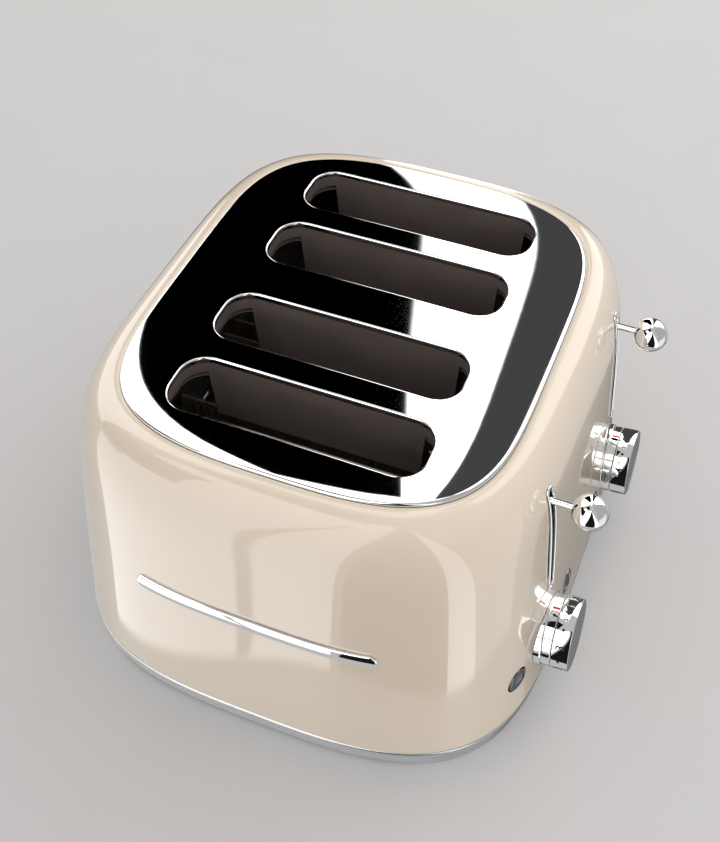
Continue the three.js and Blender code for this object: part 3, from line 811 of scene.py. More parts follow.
# ------------------------------------------------------------------------------- casing
@dataclass
class Casing:
    """The fixed outside: enamelled shell, chrome top, slot liners, plinth, feet, gland and bar."""

    slot_half_x: float = 71.5
    slot_half_y: float = 19.25
    slot_corner: float = 14.5
    slot_rows: tuple[float, ...] = (-89.2, -34.2, 34.2, 89.2)
    wall: float = 1.8
    body: str = "casing"

    def build(self) -> None:
        """Makes every fixed outside piece."""
        self.shell()
        self.top_plate()
        self.liners()
        self.plinth()
        self.feet()
        self.gland()
        self.bar()

    def shell(self) -> Object:
        """The pressed shell with its rolled lower edge, and its cut-outs."""
        mesh = cut_away(self.shell_blank(), self.cut_outs())
        piece = make_piece(mesh, "shell_enamel", CREAM_ENAMEL)
        tolerance, pressed_low, pressed_high = 0.004, 16.6, 191.93
        roll_top, lip_low = 16.7, 191.1

        def pressed(points: np.ndarray) -> np.ndarray:
            """Says which points are on the pressed face."""
            x, y, px, py = BODY.section(points[:, 2])
            level = np.abs(points[:, 0] / x) ** px + np.abs(points[:, 1] / y) ** py
            height = points[:, 2]
            between = (height > pressed_low) & (height < pressed_high)
            return (np.abs(level - 1) < tolerance) & between

        smooth_as_pressed(piece, pressed, BODY.normals)
        mesh = piece.data
        points = points_of(mesh)
        coated = pressed(points) | (points[:, 2] > lip_low) | (points[:, 2] < roll_top)
        outside = mesh.attributes.new("outside", "FLOAT", "FACE")
        for face in mesh.polygons:
            outside.data[face.index].value = float(all(coated[v] for v in face.vertices))
        return place_piece(piece, self.body, "cream_enamel", "outer_shell")

    def shell_blank(self) -> Object:
        """The shell before its cut-outs: outer face, lip under the chrome plate, and inner face."""
        roll, roll_share, straight_low, straight_high = 0.8, 0.6, 17, 104
        rows = []
        for t in np.radians([90, 60, 30, 0]):
            z = BODY.bottom_z + roll * (1 - math.sin(t)) * roll_share
            rows.append(BODY.ring(z, roll * (1 - math.cos(t))))
        rows += [BODY.ring(z) for z in np.linspace(straight_low, straight_high, 12)]
        turns = np.radians(np.linspace(13, 89.2, 36))
        rise = BODY.top_z - BODY.bottom_z
        heights = BODY.bottom_z + rise * np.sin(turns) ** (2 / BODY.shoulder)
        rows += [BODY.ring(z) for z in heights]
        for inset, drop in ((0.35, 0.05), (1.1, 0.2), (self.wall, 0.8), (self.wall, 1.7)):
            rows.append(with_height(BODY.ring(BODY.top_z, inset)[:, :2], BODY.top_z - drop))
        inner_top = 191.0
        deep = [BODY.ring(z) for z in reversed(heights[::3]) if z < inner_top]
        deep += [BODY.ring(z) for z in np.linspace(straight_high, straight_low, 5)]
        inner = [ring - BODY.normals(ring) * self.wall for ring in deep]
        draft = MeshDraft()
        draft.skin([*rows, *inner, BODY.ring(BODY.bottom_z + 0.3, self.wall)])
        return draft.make("shell_blank", CREAM_ENAMEL)

    def cut_outs(self) -> MeshDraft:
        """The shapes cut from the shell for the controls, the crumb trays and the cord gland."""
        tools = MeshDraft()
        for unit in Unit:
            for part in (LeverSet(unit), DialSet(unit), *buttons_of(unit), CrumbTray(unit)):
                part.cutter(tools)
        gland_z, radius, reach = 50.0, 6.4, 8.0
        x = -float(BODY.side_x(gland_z, 0))
        tools.solid(on_side_axis([(radius, -reach), (radius, reach)], x, 0, gland_z, 0, 32))
        return tools

    def plate_height(self, points: np.ndarray) -> np.ndarray:
        """The chrome plate's height over plane points: a dome that falls faster at its edge."""
        x, y, px, py = BODY.section(BODY.top_z)
        inset, edge_z, dome, shoulder = 5.0, 193.5, 0.9, 1.2
        level = (
            np.abs(points[:, 0] / (x - inset)) ** px + np.abs(points[:, 1] / (y - inset)) ** py
        ) ** (2 / (px + py))
        return edge_z + dome * (1 - level**2) + shoulder * (1 - level**10)

    def plate_normals(self, points: np.ndarray) -> np.ndarray:
        """The dome's upward directions at points."""
        step = 0.05
        slopes = []
        for axis in range(2):
            move = np.zeros(3)
            move[axis] = step
            rise = self.plate_height(points + move) - self.plate_height(points - move)
            slopes.append(-rise / (2 * step))
        normal = np.column_stack([*slopes, np.ones(len(points))])
        return normal / np.linalg.norm(normal, axis=1)[:, None]

    def top_plate(self) -> Object:
        """The domed chrome plate: rolled rim, four slots with turned-down lips."""
        lip, rim_inset, rim_width, rim_low, rim_end_z = 1.1, 3.8, 1.85, 191.9, 190.5
        lip_end_z, thickness, spacing = 191.9, 0.8, 4.0
        sharp = math.radians(60)
        edge = BODY.ring(BODY.top_z, rim_inset)[:, :2]
        edge_z = self.plate_height(edge)
        outline = stadium(
            self.slot_half_x + lip, self.slot_half_y + lip, self.slot_corner + lip, 16
        )
        seat = stadium(self.slot_half_x, self.slot_half_y, self.slot_corner, 16)
        holes = [outline + [0, y] for y in self.slot_rows]
        flat, faces = sheet_with_holes(edge, holes, spacing)
        draft = MeshDraft()
        draft.join(with_height(flat, self.plate_height(flat)), faces)
        rim = []
        for t in np.radians([90, 75, 60, 45, 30, 15, 0]):
            outline = BODY.ring(BODY.top_z, rim_inset - rim_width * math.cos(t))[:, :2]
            rim.append(with_height(outline, rim_low + (edge_z - rim_low) * math.sin(t)))
        rim.append(with_height(rim[-1][:, :2], rim_end_z))
        draft.skin(rim, through=False)
        for hole, y in zip(holes, self.slot_rows):
            low = seat + [0, y]
            top = self.plate_height(hole)
            rows = []
            for t in np.radians([0, 18, 36, 54, 72, 90]):
                plane = low + (hole - low) * (1 - math.sin(t))
                rows.append(with_height(plane, top - lip * (1 - math.cos(t))))
            rows.append(with_height(rows[-1][:, :2], lip_end_z))
            draft.skin(rows, through=False)
        piece = draft.make("top_plate_blank", CHROME, sharp)
        self.face_up(piece)
        thick = piece.modifiers.new("thickness", "SOLIDIFY")
        thick.thickness = thickness * MM
        thick.offset = -1
        mesh = evaluated_mesh(piece)
        bpy.data.objects.remove(piece)
        piece = make_piece(mesh, "top_plate_chrome", CHROME, sharp)
        tolerance = 0.01

        def domed(points: np.ndarray) -> np.ndarray:
            """Says which points are on the dome."""
            near = np.abs(points[:, 2] - self.plate_height(points)) < tolerance
            x, y, px, py = BODY.section(BODY.top_z)
            half_x, half_y = x - rim_inset + tolerance, y - rim_inset + tolerance
            level = np.abs(points[:, 0] / half_x) ** px + np.abs(points[:, 1] / half_y) ** py
            return near & (level <= 1.0)

        smooth_as_pressed(piece, domed, self.plate_normals)
        return place_piece(piece, self.body, "polished_chrome", "top_plate")

    @staticmethod
    def face_up(piece: Object) -> None:
        """Turns an open sheet's faces upwards where they point down."""
        work = bmesh.new()
        work.from_mesh(piece.data)
        bmesh.ops.recalc_face_normals(work, faces=work.faces)
        total = sum(f.normal.z * f.calc_area() for f in work.faces)
        if total < 0:
            bmesh.ops.reverse_faces(work, faces=work.faces)
        work.to_mesh(piece.data)
        work.free()

    def liners(self) -> Object:
        """The inner frame: a stamped plate, and a well round each slot with open ends low down."""
        top_z, low_z, wall = 191.4, 151.4, 1.0
        open_from_x, step_width, open_z = 61.0, 1.2, 184.0
        plate_z = 180.2
        inner_x, inner_y = self.slot_half_x + 0.5, self.slot_half_y + 0.5
        draft = MeshDraft()
        seats = []
        for y in self.slot_rows:
            inner = stadium(inner_x, inner_y, self.slot_corner, 10) + [0, y]
            outer = stadium(inner_x + wall, inner_y + wall, self.slot_corner + wall, 10) + [0, y]
            seats.append(outer)
            share = np.clip((np.abs(inner[:, 0]) - open_from_x) / step_width, 0, 1)
            bottom = low_z + (open_z - low_z) * share
            levels = [1.0, 0.66, 0.33, 0.0]
            rings = [with_height(inner, bottom + (top_z - bottom) * s) for s in levels]
            rings += [with_height(outer, bottom + (top_z - bottom) * s) for s in reversed(levels)]
            draft.skin(rings)
        plate_half_x, plate_half_y, gap, spacing = 90.2, 125.7, 0.05, 12.0
        edge = stadium(plate_half_x, plate_half_y, 3.0, 6)
        holes = [middle_out(s, gap) for s in seats]
        flat, faces = sheet_with_holes(edge, holes, spacing)
        count = len(flat)
        first = draft.join(with_height(flat, plate_z + wall), faces)
        draft.join(with_height(flat, plate_z), [tuple(reversed(face)) for face in faces])
        for loop in [edge, *holes]:
            size = len(loop)
            for i in range(size):
                a, b = first + i, first + (i + 1) % size
                draft.faces.append((a, b, b + count, a + count))
            first += size
        arm_x, rod_reach, arm_half_y = 90.3, 109.0, 93.2
        arm = [(arm_x, -arm_half_y), (rod_reach, -arm_half_y), (rod_reach, arm_half_y)]
        arm = np.array([*arm, (arm_x, arm_half_y)])
        rings = [with_height(arm, z) for z in (plate_z, plate_z + wall)]
        draft.solid(rings)
        piece = draft.make("slot_liners", HEATED_STEEL)
        return place_piece(piece, self.body, "heated_steel", "slot_liner")

    def plinth(self) -> Object:
        """The chrome base band: it leans in a little, and ramps down to a leg at each corner."""
        top_z, low_z, arch_z, wall = 15.7, 0.4, 3.8, 2.5
        leg, ramp, taper, bead = 58.0, 14.0, 1.0, 0.8
        half_x, half_y, _, _ = BODY.section(BODY.bottom_z)

        def lower_edge(ring: np.ndarray) -> np.ndarray:
            """The height of the band's lower edge at each point of a ring."""
            ends = [np.abs(ring[:, 0]) - (half_x - leg), np.abs(ring[:, 1]) - (half_y - leg)]
            ramps = [np.clip(e / ramp, 0, 1) for e in ends]
            down = np.minimum(*[r * r * (3 - 2 * r) for r in ramps])
            return arch_z + (low_z - arch_z) * down

        def inset_at(z: np.ndarray) -> np.ndarray:
            """How far the band stands in from the body at a height."""
            return 0.2 + taper * np.clip((top_z - 2.5 - z) / (top_z - 2.5 - low_z), 0, 1)

        def band(share: float, extra: float) -> np.ndarray:
            """A ring at a share of the band's height, moved in by extra."""
            ring = BODY.ring(BODY.bottom_z, 0.4)
            bottom = lower_edge(ring)
            z = bottom + (top_z - 2 * bead - bottom) * share
            moved = inset_at(z) + extra
            scale_x = (half_x - moved) / (half_x - 0.4)
            scale_y = (half_y - moved) / (half_y - 0.4)
            return np.column_stack([ring[:, 0] * scale_x, ring[:, 1] * scale_y, z])

        rows = [band(s, 0.0) for s in np.linspace(0.03, 1, 8)]
        for a in (-60, -30, 0, 25, 50, 75, 90):
            t = math.radians(a)
            ring = BODY.ring(BODY.bottom_z, bead * (1 - math.cos(t)) - 0.15)
            rows.append(with_height(ring[:, :2], top_z - bead + bead * math.sin(t)))
        rows.append(with_height(BODY.ring(BODY.bottom_z, wall + 1.0)[:, :2], top_z))
        rows += [band(s, wall) for s in (0.8, 0.5, 0.25, 0.0)]
        rows.append(band(0.0, 0.3))
        draft = MeshDraft()
        draft.skin(rows)
        piece = draft.make("plinth_chrome", SATIN_CHROME)
        return place_piece(piece, self.body, "satin_chrome", "base_plinth")

    def feet(self) -> None:
        """Four turned rubber feet with a grooved sole."""
        inset, top_z = 45.0, 8.3
        half_x, half_y, _, _ = BODY.section(BODY.bottom_z)
        profile = [
            (0, 0.6), (2.6, 0.6), (3.0, 0), (4.4, 0), (4.8, 0.6), (5.4, 0.6), (5.8, 0), (7.6, 0),
            (8.5, 0.35), (8.95, 1.3), (8.6, 3.4), (8.1, 4.2), (8.1, 6.6), (8.0, top_z), (0, top_z),
        ]
        for unit in Unit:
            for sx, hand in ((-1, "left"), (1, "right")):
                x, y = sx * (half_x - inset), unit.value * (half_y - inset)
                rings = on_side_axis(profile, x, y, 0, math.pi / 2, 40)
                draft = MeshDraft()
                draft.skin(rings, through=False)
                node = f"foot_{unit.label}_{hand}"
                place_piece(draft.make(f"rubber_{node}", RUBBER), self.body, "rubber", node)

    def gland(self) -> Object:
        """The cord gland: a flanged bush with a rounded mouth, away from the controls."""
        gland_z = 50.0
        x = -float(BODY.side_x(gland_z, 0))
        profile = [
            (3.6, -10), (3.6, 1.2), (3.8, 1.9), (4.4, 2.3), (7.6, 2.3), (8.5, 2.0), (9.0, 1.3),
            (9.0, 0.35), (6.0, 0.35), (6.0, -9.2), (5.4, -10),
        ]
        rings = on_side_axis(profile, x, 0, gland_z, math.pi - BODY.tilt, 48)
        draft = MeshDraft()
        draft.skin(rings)
        piece = draft.make("gland_bush", BLACK_PLASTIC)
        return place_piece(piece, self.body, "black_plastic", "cord_gland")

    def bar(self) -> Object:
        """The plain raised bar across the front, with rounded edges and ends."""
        middle_z, half_length, half_height, proud, gap = 101.0, 71.0, 4.0, 1.9, 0.3
        edge = 0.9
        outline = stadium(half_length, half_height, half_height, 14)
        rings = []
        for inset, out in [(0.0, gap), (0.0, proud - edge), *rounded_face(proud, edge)]:
            loop = outline * [1 - inset / half_length, 1 - inset / half_height]
            z = middle_z + loop[:, 1]
            y = -BODY.front_y(z, loop[:, 0]) - out
            rings.append(np.column_stack([loop[:, 0], y, z]))
        draft = MeshDraft()
        draft.skin(rings, through=False)
        for ring, turn in ((rings[0], 1), (rings[-1], -1)):
            start = draft.add(ring)
            half = len(ring) // 2
            order = list(range(start, start + len(ring)))
            high, low = order[:half], order[half:][::-1]
            for i in range(half - 1):
                draft.faces.append((high[i], high[i + 1], low[i + 1], low[i])[::turn])
        piece = draft.make("front_bar_chrome", CHROME)
        return place_piece(piece, self.body, "polished_chrome", "front_badge")


def middle_out(loop: np.ndarray, gap: float) -> np.ndarray:
    """A closed loop grown by a small gap about its middle."""
    middle = (loop.min(0) + loop.max(0)) / 2
    reach = (loop.max(0) - loop.min(0)) / 2
    return middle + (loop - middle) * (reach + gap) / reach


# ------------------------------------------------------------------------------- controls
def lever_y(unit: Unit) -> float:
    """The Y of a unit's lever and dial."""
    return unit.value * 70.0


@dataclass
class LeverSet:
    """A unit's lever: its chrome track on the side, the stem, and the ball."""

    unit: Unit
    rest_z: float = 164.0
    slot_low_z: float = 91.0
    slot_high_z: float = 172.0
    slot_half: float = 2.5
    ball_out: float = 20.7
    ball_radius: float = 9.8
    stem_radius: float = 1.9

    def cutter(self, tools: MeshDraft) -> None:
        """Adds the lever's slot to the cutting shapes."""
        loop = self.loop(self.slot_half)
        rings = [np.column_stack([np.full(len(loop), x), loop]) for x in (110.0, 160.0)]
        tools.solid(rings)

    def loop(self, half: float) -> np.ndarray:
        """The slot's outline, grown to a half width, as pairs of Y and Z."""
        middle = (self.slot_low_z + self.slot_high_z) / 2
        reach = (self.slot_high_z - self.slot_low_z) / 2 + half - self.slot_half
        outline = stadium(reach, half, half, 12)
        return np.column_stack([outline[:, 1] * -1 + lever_y(self.unit), outline[:, 0] + middle])

    def build(self) -> None:
        """Makes the track, stem and ball."""
        body = f"lever_{self.unit.label}"
        self.track()
        y = lever_y(self.unit)
        start_x = float(BODY.side_x(self.rest_z, abs(y)))
        ball_x = start_x + self.ball_out
        r = self.stem_radius
        neck_x = ball_x - self.ball_radius
        profile = [
            (0, 112.0), (r - 0.3, 112.0), (r, 112.4), (r, neck_x), (r, ball_x - 7.3),
            (0, ball_x - 7.2),
        ]
        draft = MeshDraft()
        draft.skin(on_side_axis(profile, 0, y, self.rest_z, 0, 32), through=False)
        stem = draft.make(f"stem_{self.unit.label}", CHROME)
        place_piece(stem, body, "polished_chrome", f"lever_stem_{self.unit.label}")
        seat = math.degrees(math.asin((r + 0.15) / self.ball_radius))
        turns = np.radians(np.linspace(180 - seat, 0, 48))
        profile = [(0, -6.9), (r + 0.15, -6.9)]
        profile += [(self.ball_radius * math.sin(t), self.ball_radius * math.cos(t)) for t in turns]
        draft = MeshDraft()
        draft.skin(on_side_axis(profile, ball_x, y, self.rest_z, 0, 72), through=False)
        ball = draft.make(f"ball_{self.unit.label}", CHROME)
        place_piece(ball, body, "polished_chrome", f"lever_ball_{self.unit.label}")

    def track(self) -> Object:
        """The track: a half-round chrome bead that follows the side round the slot."""
        gap, proud, width = 0.3, 1.25, 1.55
        section = [(0.0, gap), (0.0, proud * 0.55)]
        section += [
            (width / 2 - width / 2 * math.cos(t), proud * 0.55 + proud * 0.45 * math.sin(t))
            for t in np.radians([30, 60, 90, 120, 150])
        ]
        section += [(width, proud * 0.55), (width, gap)]
        rings = []
        for out, up in section:
            loop = self.loop(self.slot_half + out)
            y, z = loop[:, 0], loop[:, 1]
            x = BODY.side_x(z, y)
            base = np.column_stack([x, y, z])
            rings.append(base + BODY.normals(base) * up)
        draft = MeshDraft()
        draft.skin(rings)
        piece = draft.make(f"track_{self.unit.label}", CHROME, math.radians(50))
        return place_piece(piece, "casing", "polished_chrome", f"lever_track_{self.unit.label}")


@dataclass
class DialSet:
    """A unit's browning control: fixed collar, turning dial, and the marks on both."""

    unit: Unit
    radius: float = 21.5
    middle_z: float = 50.0
    collar_length: float = 7.0
    dial_start: float = 7.4
    dial_end: float = 17.4
    level_turn: float = 57.0

    @property
    def rest_level(self) -> float:
        """The browning level under the red mark at rest, as the dial is set."""
        return {Unit.FRONT: 4.0, Unit.REAR: 5.0}[self.unit]

    @property
    def start_x(self) -> float:
        """Where the dial's axis meets the side."""
        return float(BODY.side_x(self.middle_z, 70.0))

    def rings(self, profile: list, steps: int = 96) -> list[np.ndarray]:
        """Rings of a turned shape about the dial's axis."""
        return on_side_axis(
            profile, self.start_x, lever_y(self.unit), self.middle_z, BODY.tilt, steps
        )

    def cutter(self, tools: MeshDraft) -> None:
        """Adds the shaft's hole to the cutting shapes."""
        hole, reach = 5.0, 12
        rings = self.rings([(hole, -reach), (hole, reach)], 32)
        tools.solid(rings)

    def build(self) -> None:
        """Makes the collar, the dial and the marks."""
        self.collar()
        self.dial()
        self.marks()

    def collar(self) -> Object:
        """The fixed collar: a thin flange that meets the side, then a ring with a fine groove."""
        inner, outer, flange = self.radius - 3.4, self.radius - 0.2, self.radius + 0.7
        upper = [
            (flange, 0.9), (flange - 0.25, 1.25), (outer + 0.1, 1.4), (outer, 1.7), (outer, 2.0),
            (outer - 0.35, 2.15), (outer - 0.35, 2.4), (outer, 2.55),
            (outer, self.collar_length - 0.35),
            (outer - 0.3, self.collar_length), (inner, self.collar_length),
        ]
        steps = 96
        out = np.array([math.cos(BODY.tilt), 0, math.sin(BODY.tilt)])
        rings = self.rings(upper, steps)

        gap = 0.3

        def dropped(radius: float) -> np.ndarray:
            """A ring that follows the shell's side, just off it."""
            ring = self.rings([(radius, 0)], steps)[0]
            for _ in range(6):
                short = BODY.side_x(ring[:, 2], ring[:, 1]) - ring[:, 0]
                ring = ring + short[:, None] * out / out[0]
            return ring + gap * out

        draft = MeshDraft()
        draft.skin([dropped(flange), *rings, dropped(inner)])
        piece = draft.make(f"collar_{self.unit.label}", CHROME)
        return place_piece(piece, "casing", "polished_chrome", f"dial_collar_{self.unit.label}")

    def dial(self) -> Object:
        """The dial: a thick-walled cup on a shaft, with a stepped rim and a dished face."""
        r, start, end = self.radius, self.dial_start, self.dial_end
        profile = [
            (0, -7.6), (3, -7.6), (3, start + 1), (6, start + 1), (6, end - 2.6),
            (r - 2, end - 2.6),
            (r - 2, start), (r - 0.25, start), (r, start + 0.25), (r, end - 0.5),
            (r - 0.12, end - 0.2),
            (r - 0.45, end), (r - 0.8, end), (r - 1.6, end - 0.2), (r - 2.4, end - 0.38),
            (r - 3.3, end - 0.45), (12, end - 0.6), (6, end - 0.68), (0, end - 0.7),
        ]
        draft = MeshDraft()
        draft.skin(self.rings(profile), through=False)
        piece = draft.make(f"dial_chrome_{self.unit.label}", CHROME)
        body = f"dial_{self.unit.label}_turn"
        return place_piece(piece, body, "dial_chrome", f"dial_{self.unit.label}")

    def wrap(self, flat: np.ndarray, turn: float, along: float, radius: float) -> np.ndarray:
        """Wraps flat marks round the dial, read from above with their tops towards the shell.

        Args:
            flat: points right, up and out of the mark's own face, in millimetres.
            turn: the mark's angle round the axis in degrees, from the top towards the front.
            along: the mark's middle along the axis.
            radius: the radius of the mark's underside.

        Returns:
            The points in the shell's frame.
        """
        angle = math.radians(turn) - flat[:, 0] / radius
        out = np.array([math.cos(BODY.tilt), 0, math.sin(BODY.tilt)])
        up = np.array([-math.sin(BODY.tilt), 0, math.cos(BODY.tilt)])
        front = np.array([0.0, -1.0, 0.0])
        start = np.array([self.start_x, lever_y(self.unit), self.middle_z])
        reach = (radius + flat[:, 2])[:, None]
        round_it = np.cos(angle)[:, None] * up + np.sin(angle)[:, None] * front
        return start + (along - flat[:, 1])[:, None] * out + reach * round_it

    def number(self, level: int, size: float) -> tuple[np.ndarray, list]:
        """A number as a flat closed solid, centred.

        Args:
            level: the number.
            size: its height in millimetres.

        Returns:
            Its points and faces.
        """
        curve = bpy.data.curves.new("number", "FONT")
        curve.body = str(level)
        curve.size = size * 1.4
        curve.align_x, curve.align_y = "CENTER", "CENTER"
        curve.extrude = 0.12
        curve.offset = size * 0.02
        curve.resolution_u = 5
        text = bpy.data.objects.new("number", curve)
        bpy.context.scene.collection.objects.link(text)
        mesh = evaluated_mesh(text)
        points = np.array([v.co for v in mesh.vertices])
        points[:, :2] -= (points[:, :2].min(0) + points[:, :2].max(0)) / 2
        faces = [tuple(p.vertices) for p in mesh.polygons]
        bpy.data.objects.remove(text)
        bpy.data.meshes.remove(mesh)
        return points, faces

    def dot(self, radius: float) -> tuple[np.ndarray, list]:
        """A dot as a flat closed disc. Returns its points and faces."""
        turn = np.linspace(0, math.tau, 20, endpoint=False)
        return thin_solid(np.column_stack([np.cos(turn), np.sin(turn)]) * radius)

    def marks(self) -> None:
        """The dial's numbers and dots, and the collar's red pointer."""
        middle = (self.dial_start + self.dial_end) / 2 - 0.6
        number_size, dot_radius, sink, first_turn = 5.0, 0.85, 0.02, 3.0
        draft = MeshDraft()
        for level in np.arange(1, 6.5, 0.5):
            turn = first_turn + (self.rest_level - level) * self.level_turn
            whole = level == int(level)
            flat, faces = self.number(int(level), number_size) if whole else self.dot(dot_radius)
            draft.join(self.wrap(flat, turn, middle, self.radius - sink), faces)
        marks = draft.make(f"dial_marks_{self.unit.label}", BLACK_INK)
        place_piece(marks, f"dial_{self.unit.label}_turn", "")
        half_width, half_length, along = 0.75, 2.1, 4.65
        flat, faces = thin_solid(stadium(half_width, half_length, 0.2, 3))
        draft = MeshDraft()
        draft.join(self.wrap(flat, 0.0, along, self.radius - 0.2 - sink), faces)
        place_piece(draft.make(f"pointer_{self.unit.label}", RED_INK), "casing", "")


@dataclass
class PushButton:
    """A small dished push button in the side, beside a dial."""

    unit: Unit
    label: str
    y: float
    middle_z: float = 47.0
    radius: float = 7.5
    gap: float = 0.4
    travel: float = 1.6

    @property
    def start_x(self) -> float:
        """Where the button's axis meets the side."""
        return float(BODY.side_x(self.middle_z, abs(self.y)))

    def rings(self, profile: list, steps: int) -> list[np.ndarray]:
        """Rings of a turned shape square to the side where the button sits."""
        start = np.array([self.start_x, self.y, self.middle_z])
        normal = BODY.normals(start[None, :])[0]
        rings = on_side_axis(profile, 0, 0, 0, math.asin(normal[2]), steps)
        turn = np.array(Matrix.Rotation(math.atan2(normal[1], normal[0]), 3, "Z"))
        return [start + ring @ turn.T for ring in rings]

    def cutter(self, tools: MeshDraft) -> None:
        """Adds the button's hole to the cutting shapes.

        The button is pressed along X, so where the side turns away the cap also moves sideways.
        """
        start = np.array([[self.start_x, self.y, self.middle_z]])
        hole = self.radius + self.gap + self.travel * abs(float(BODY.normals(start)[0, 1]))
        reach = 12
        rings = self.rings([(hole, -reach), (hole, reach)], 48)
        tools.solid(rings)

    def build(self) -> Object:
        """Makes the button: a rounded rim, a groove, and a dished face."""
        r, top = self.radius, 0.9
        profile = [
            (0, -7), (r - 2, -7), (r - 2, -2.8), (r, -2.8), (r, top - 1.1), (r - 0.2, top - 0.5),
            (r - 0.6, top - 0.1), (r - 1.1, top), (r - 1.5, top - 0.2), (r - 1.7, top - 0.7),
            (r - 2.0, top - 0.95), (r - 2.3, top - 0.8), (r - 2.8, top - 0.62), (3.4, top - 0.95),
            (1.8, top - 1.1), (0, top - 1.15),
        ]
        draft = MeshDraft()
        draft.skin(self.rings(profile, 64), through=False)
        name = f"{self.label}_button_{self.unit.label}"
        piece = draft.make(f"{name}_cap", DARK_CHROME)
        return place_piece(piece, f"{name}_press", "dark_chrome", name)


def buttons_of(unit: Unit) -> list[PushButton]:
    """A unit's two buttons, one on each side of its dial."""
    offset = 38.0
    return [
        PushButton(unit, "stop", lever_y(unit) + unit.value * offset),
        PushButton(unit, "defrost", lever_y(unit) - unit.value * offset),
    ]


# ------------------------------------------------------------------------------- crumb trays
@dataclass
class CrumbTray:
    """A pull-out tray whose lip continues the shell's side."""

    unit: Unit
    width: float = 104.0
    floor_z: float = 19.5
    lip_height: float = 11.0

    @property
    def middle_y(self) -> float:
        """The tray's middle plane."""
        return self.unit.value * 61.7

    def cutter(self, tools: MeshDraft) -> None:
        """Adds the tray's window to the cutting shapes."""
        grow = 0.4
        loop = stadium(self.width / 2 + grow, self.lip_height / 2 + grow, 1.4, 5)
        middle_z = self.floor_z + self.lip_height / 2
        rings = []
        for x in (-160.0, -100.0):
            column = np.full(len(loop), x)
            rings.append(
                np.column_stack([column, loop[:, 0] + self.middle_y, loop[:, 1] + middle_z])
            )
        tools.solid(rings)

    def build(self) -> Object:
        """Makes the lip with a rounded edge, and the pan behind it."""
        middle_z = self.floor_z + self.lip_height / 2
        half_y, half_z = self.width / 2, self.lip_height / 2
        proud, depth, edge = 0.8, 3.2, 1.0
        across, rise = 60, 12
        draft = MeshDraft()
        levels = [(0.0, -depth), (0.0, proud - edge), *rounded_face(proud, edge)]
        rings = []
        for inset, out in levels:
            us = np.linspace(-1, 1, across) * (half_y - inset)
            vs = np.linspace(-1, 1, rise) * (half_z - inset)
            path = [(u, vs[0]) for u in us] + [(us[-1], v) for v in vs[1:]]
            path += [(u, vs[-1]) for u in us[::-1][1:]] + [(us[0], v) for v in vs[::-1][1:-1]]
            plane = np.array(path) + [self.middle_y, middle_z]
            x = -BODY.side_x(plane[:, 1], np.abs(plane[:, 0])) - out
            rings.append(np.column_stack([x, plane]))
        draft.skin(rings, through=False)
        for (inset, out), turn in ((levels[0], 1), (levels[-1], -1)):
            us = np.linspace(-1, 1, across) * (half_y - inset) + self.middle_y
            vs = np.linspace(-1, 1, rise) * (half_z - inset) + middle_z
            grid = np.array([(u, v) for v in vs for u in us])
            x = -BODY.side_x(grid[:, 1], np.abs(grid[:, 0])) - out
            start = draft.add(np.column_stack([x, grid]))
            for j in range(rise - 1):
                for i in range(across - 1):
                    a = start + j * across + i
                    face = (a, a + 1, a + across + 1, a + across)
                    draft.faces.append(face[::turn])
        start_x = -float(BODY.side_x(self.floor_z, abs(self.middle_y) + half_y)) + depth - 0.6
        self.pan(draft, start_x, 100.0, self.floor_z + 1, self.floor_z + 9)
        name = f"crumb_tray_{self.unit.label}"
        piece = draft.make(f"{name}_sheet", TRAY_STEEL)
        return place_piece(piece, f"{name}_drawer", "tray_steel", name)

    def pan(
        self, draft: MeshDraft, low_x: float, high_x: float, low_z: float, high_z: float
    ) -> None:
        """Adds the open pan, a folded sheet with round corners."""
        wall, corner, bend = 1.0, 5.0, 2.0
        middle_x = (low_x + high_x) / 2
        half_x, half_y = (high_x - low_x) / 2, self.width / 2 - 4
        turns = np.radians([0, 30, 60, 90])
        profile = [(bend * (1 - math.sin(t)), low_z + bend * (1 - math.cos(t))) for t in turns]
        profile += [(0.0, high_z), (wall, high_z)]
        within = bend - wall
        profile += [
            (wall + within * (1 - math.sin(t)), low_z + wall + within * (1 - math.cos(t)))
            for t in turns[::-1]
        ]
        rings = []
        for inset, z in profile:
            loop = stadium(half_x, half_y, corner, 8)
            loop = loop * [1 - inset / half_x, 1 - inset / half_y] + [middle_x, self.middle_y]
            rings.append(with_height(loop, z))
        draft.solid(rings)


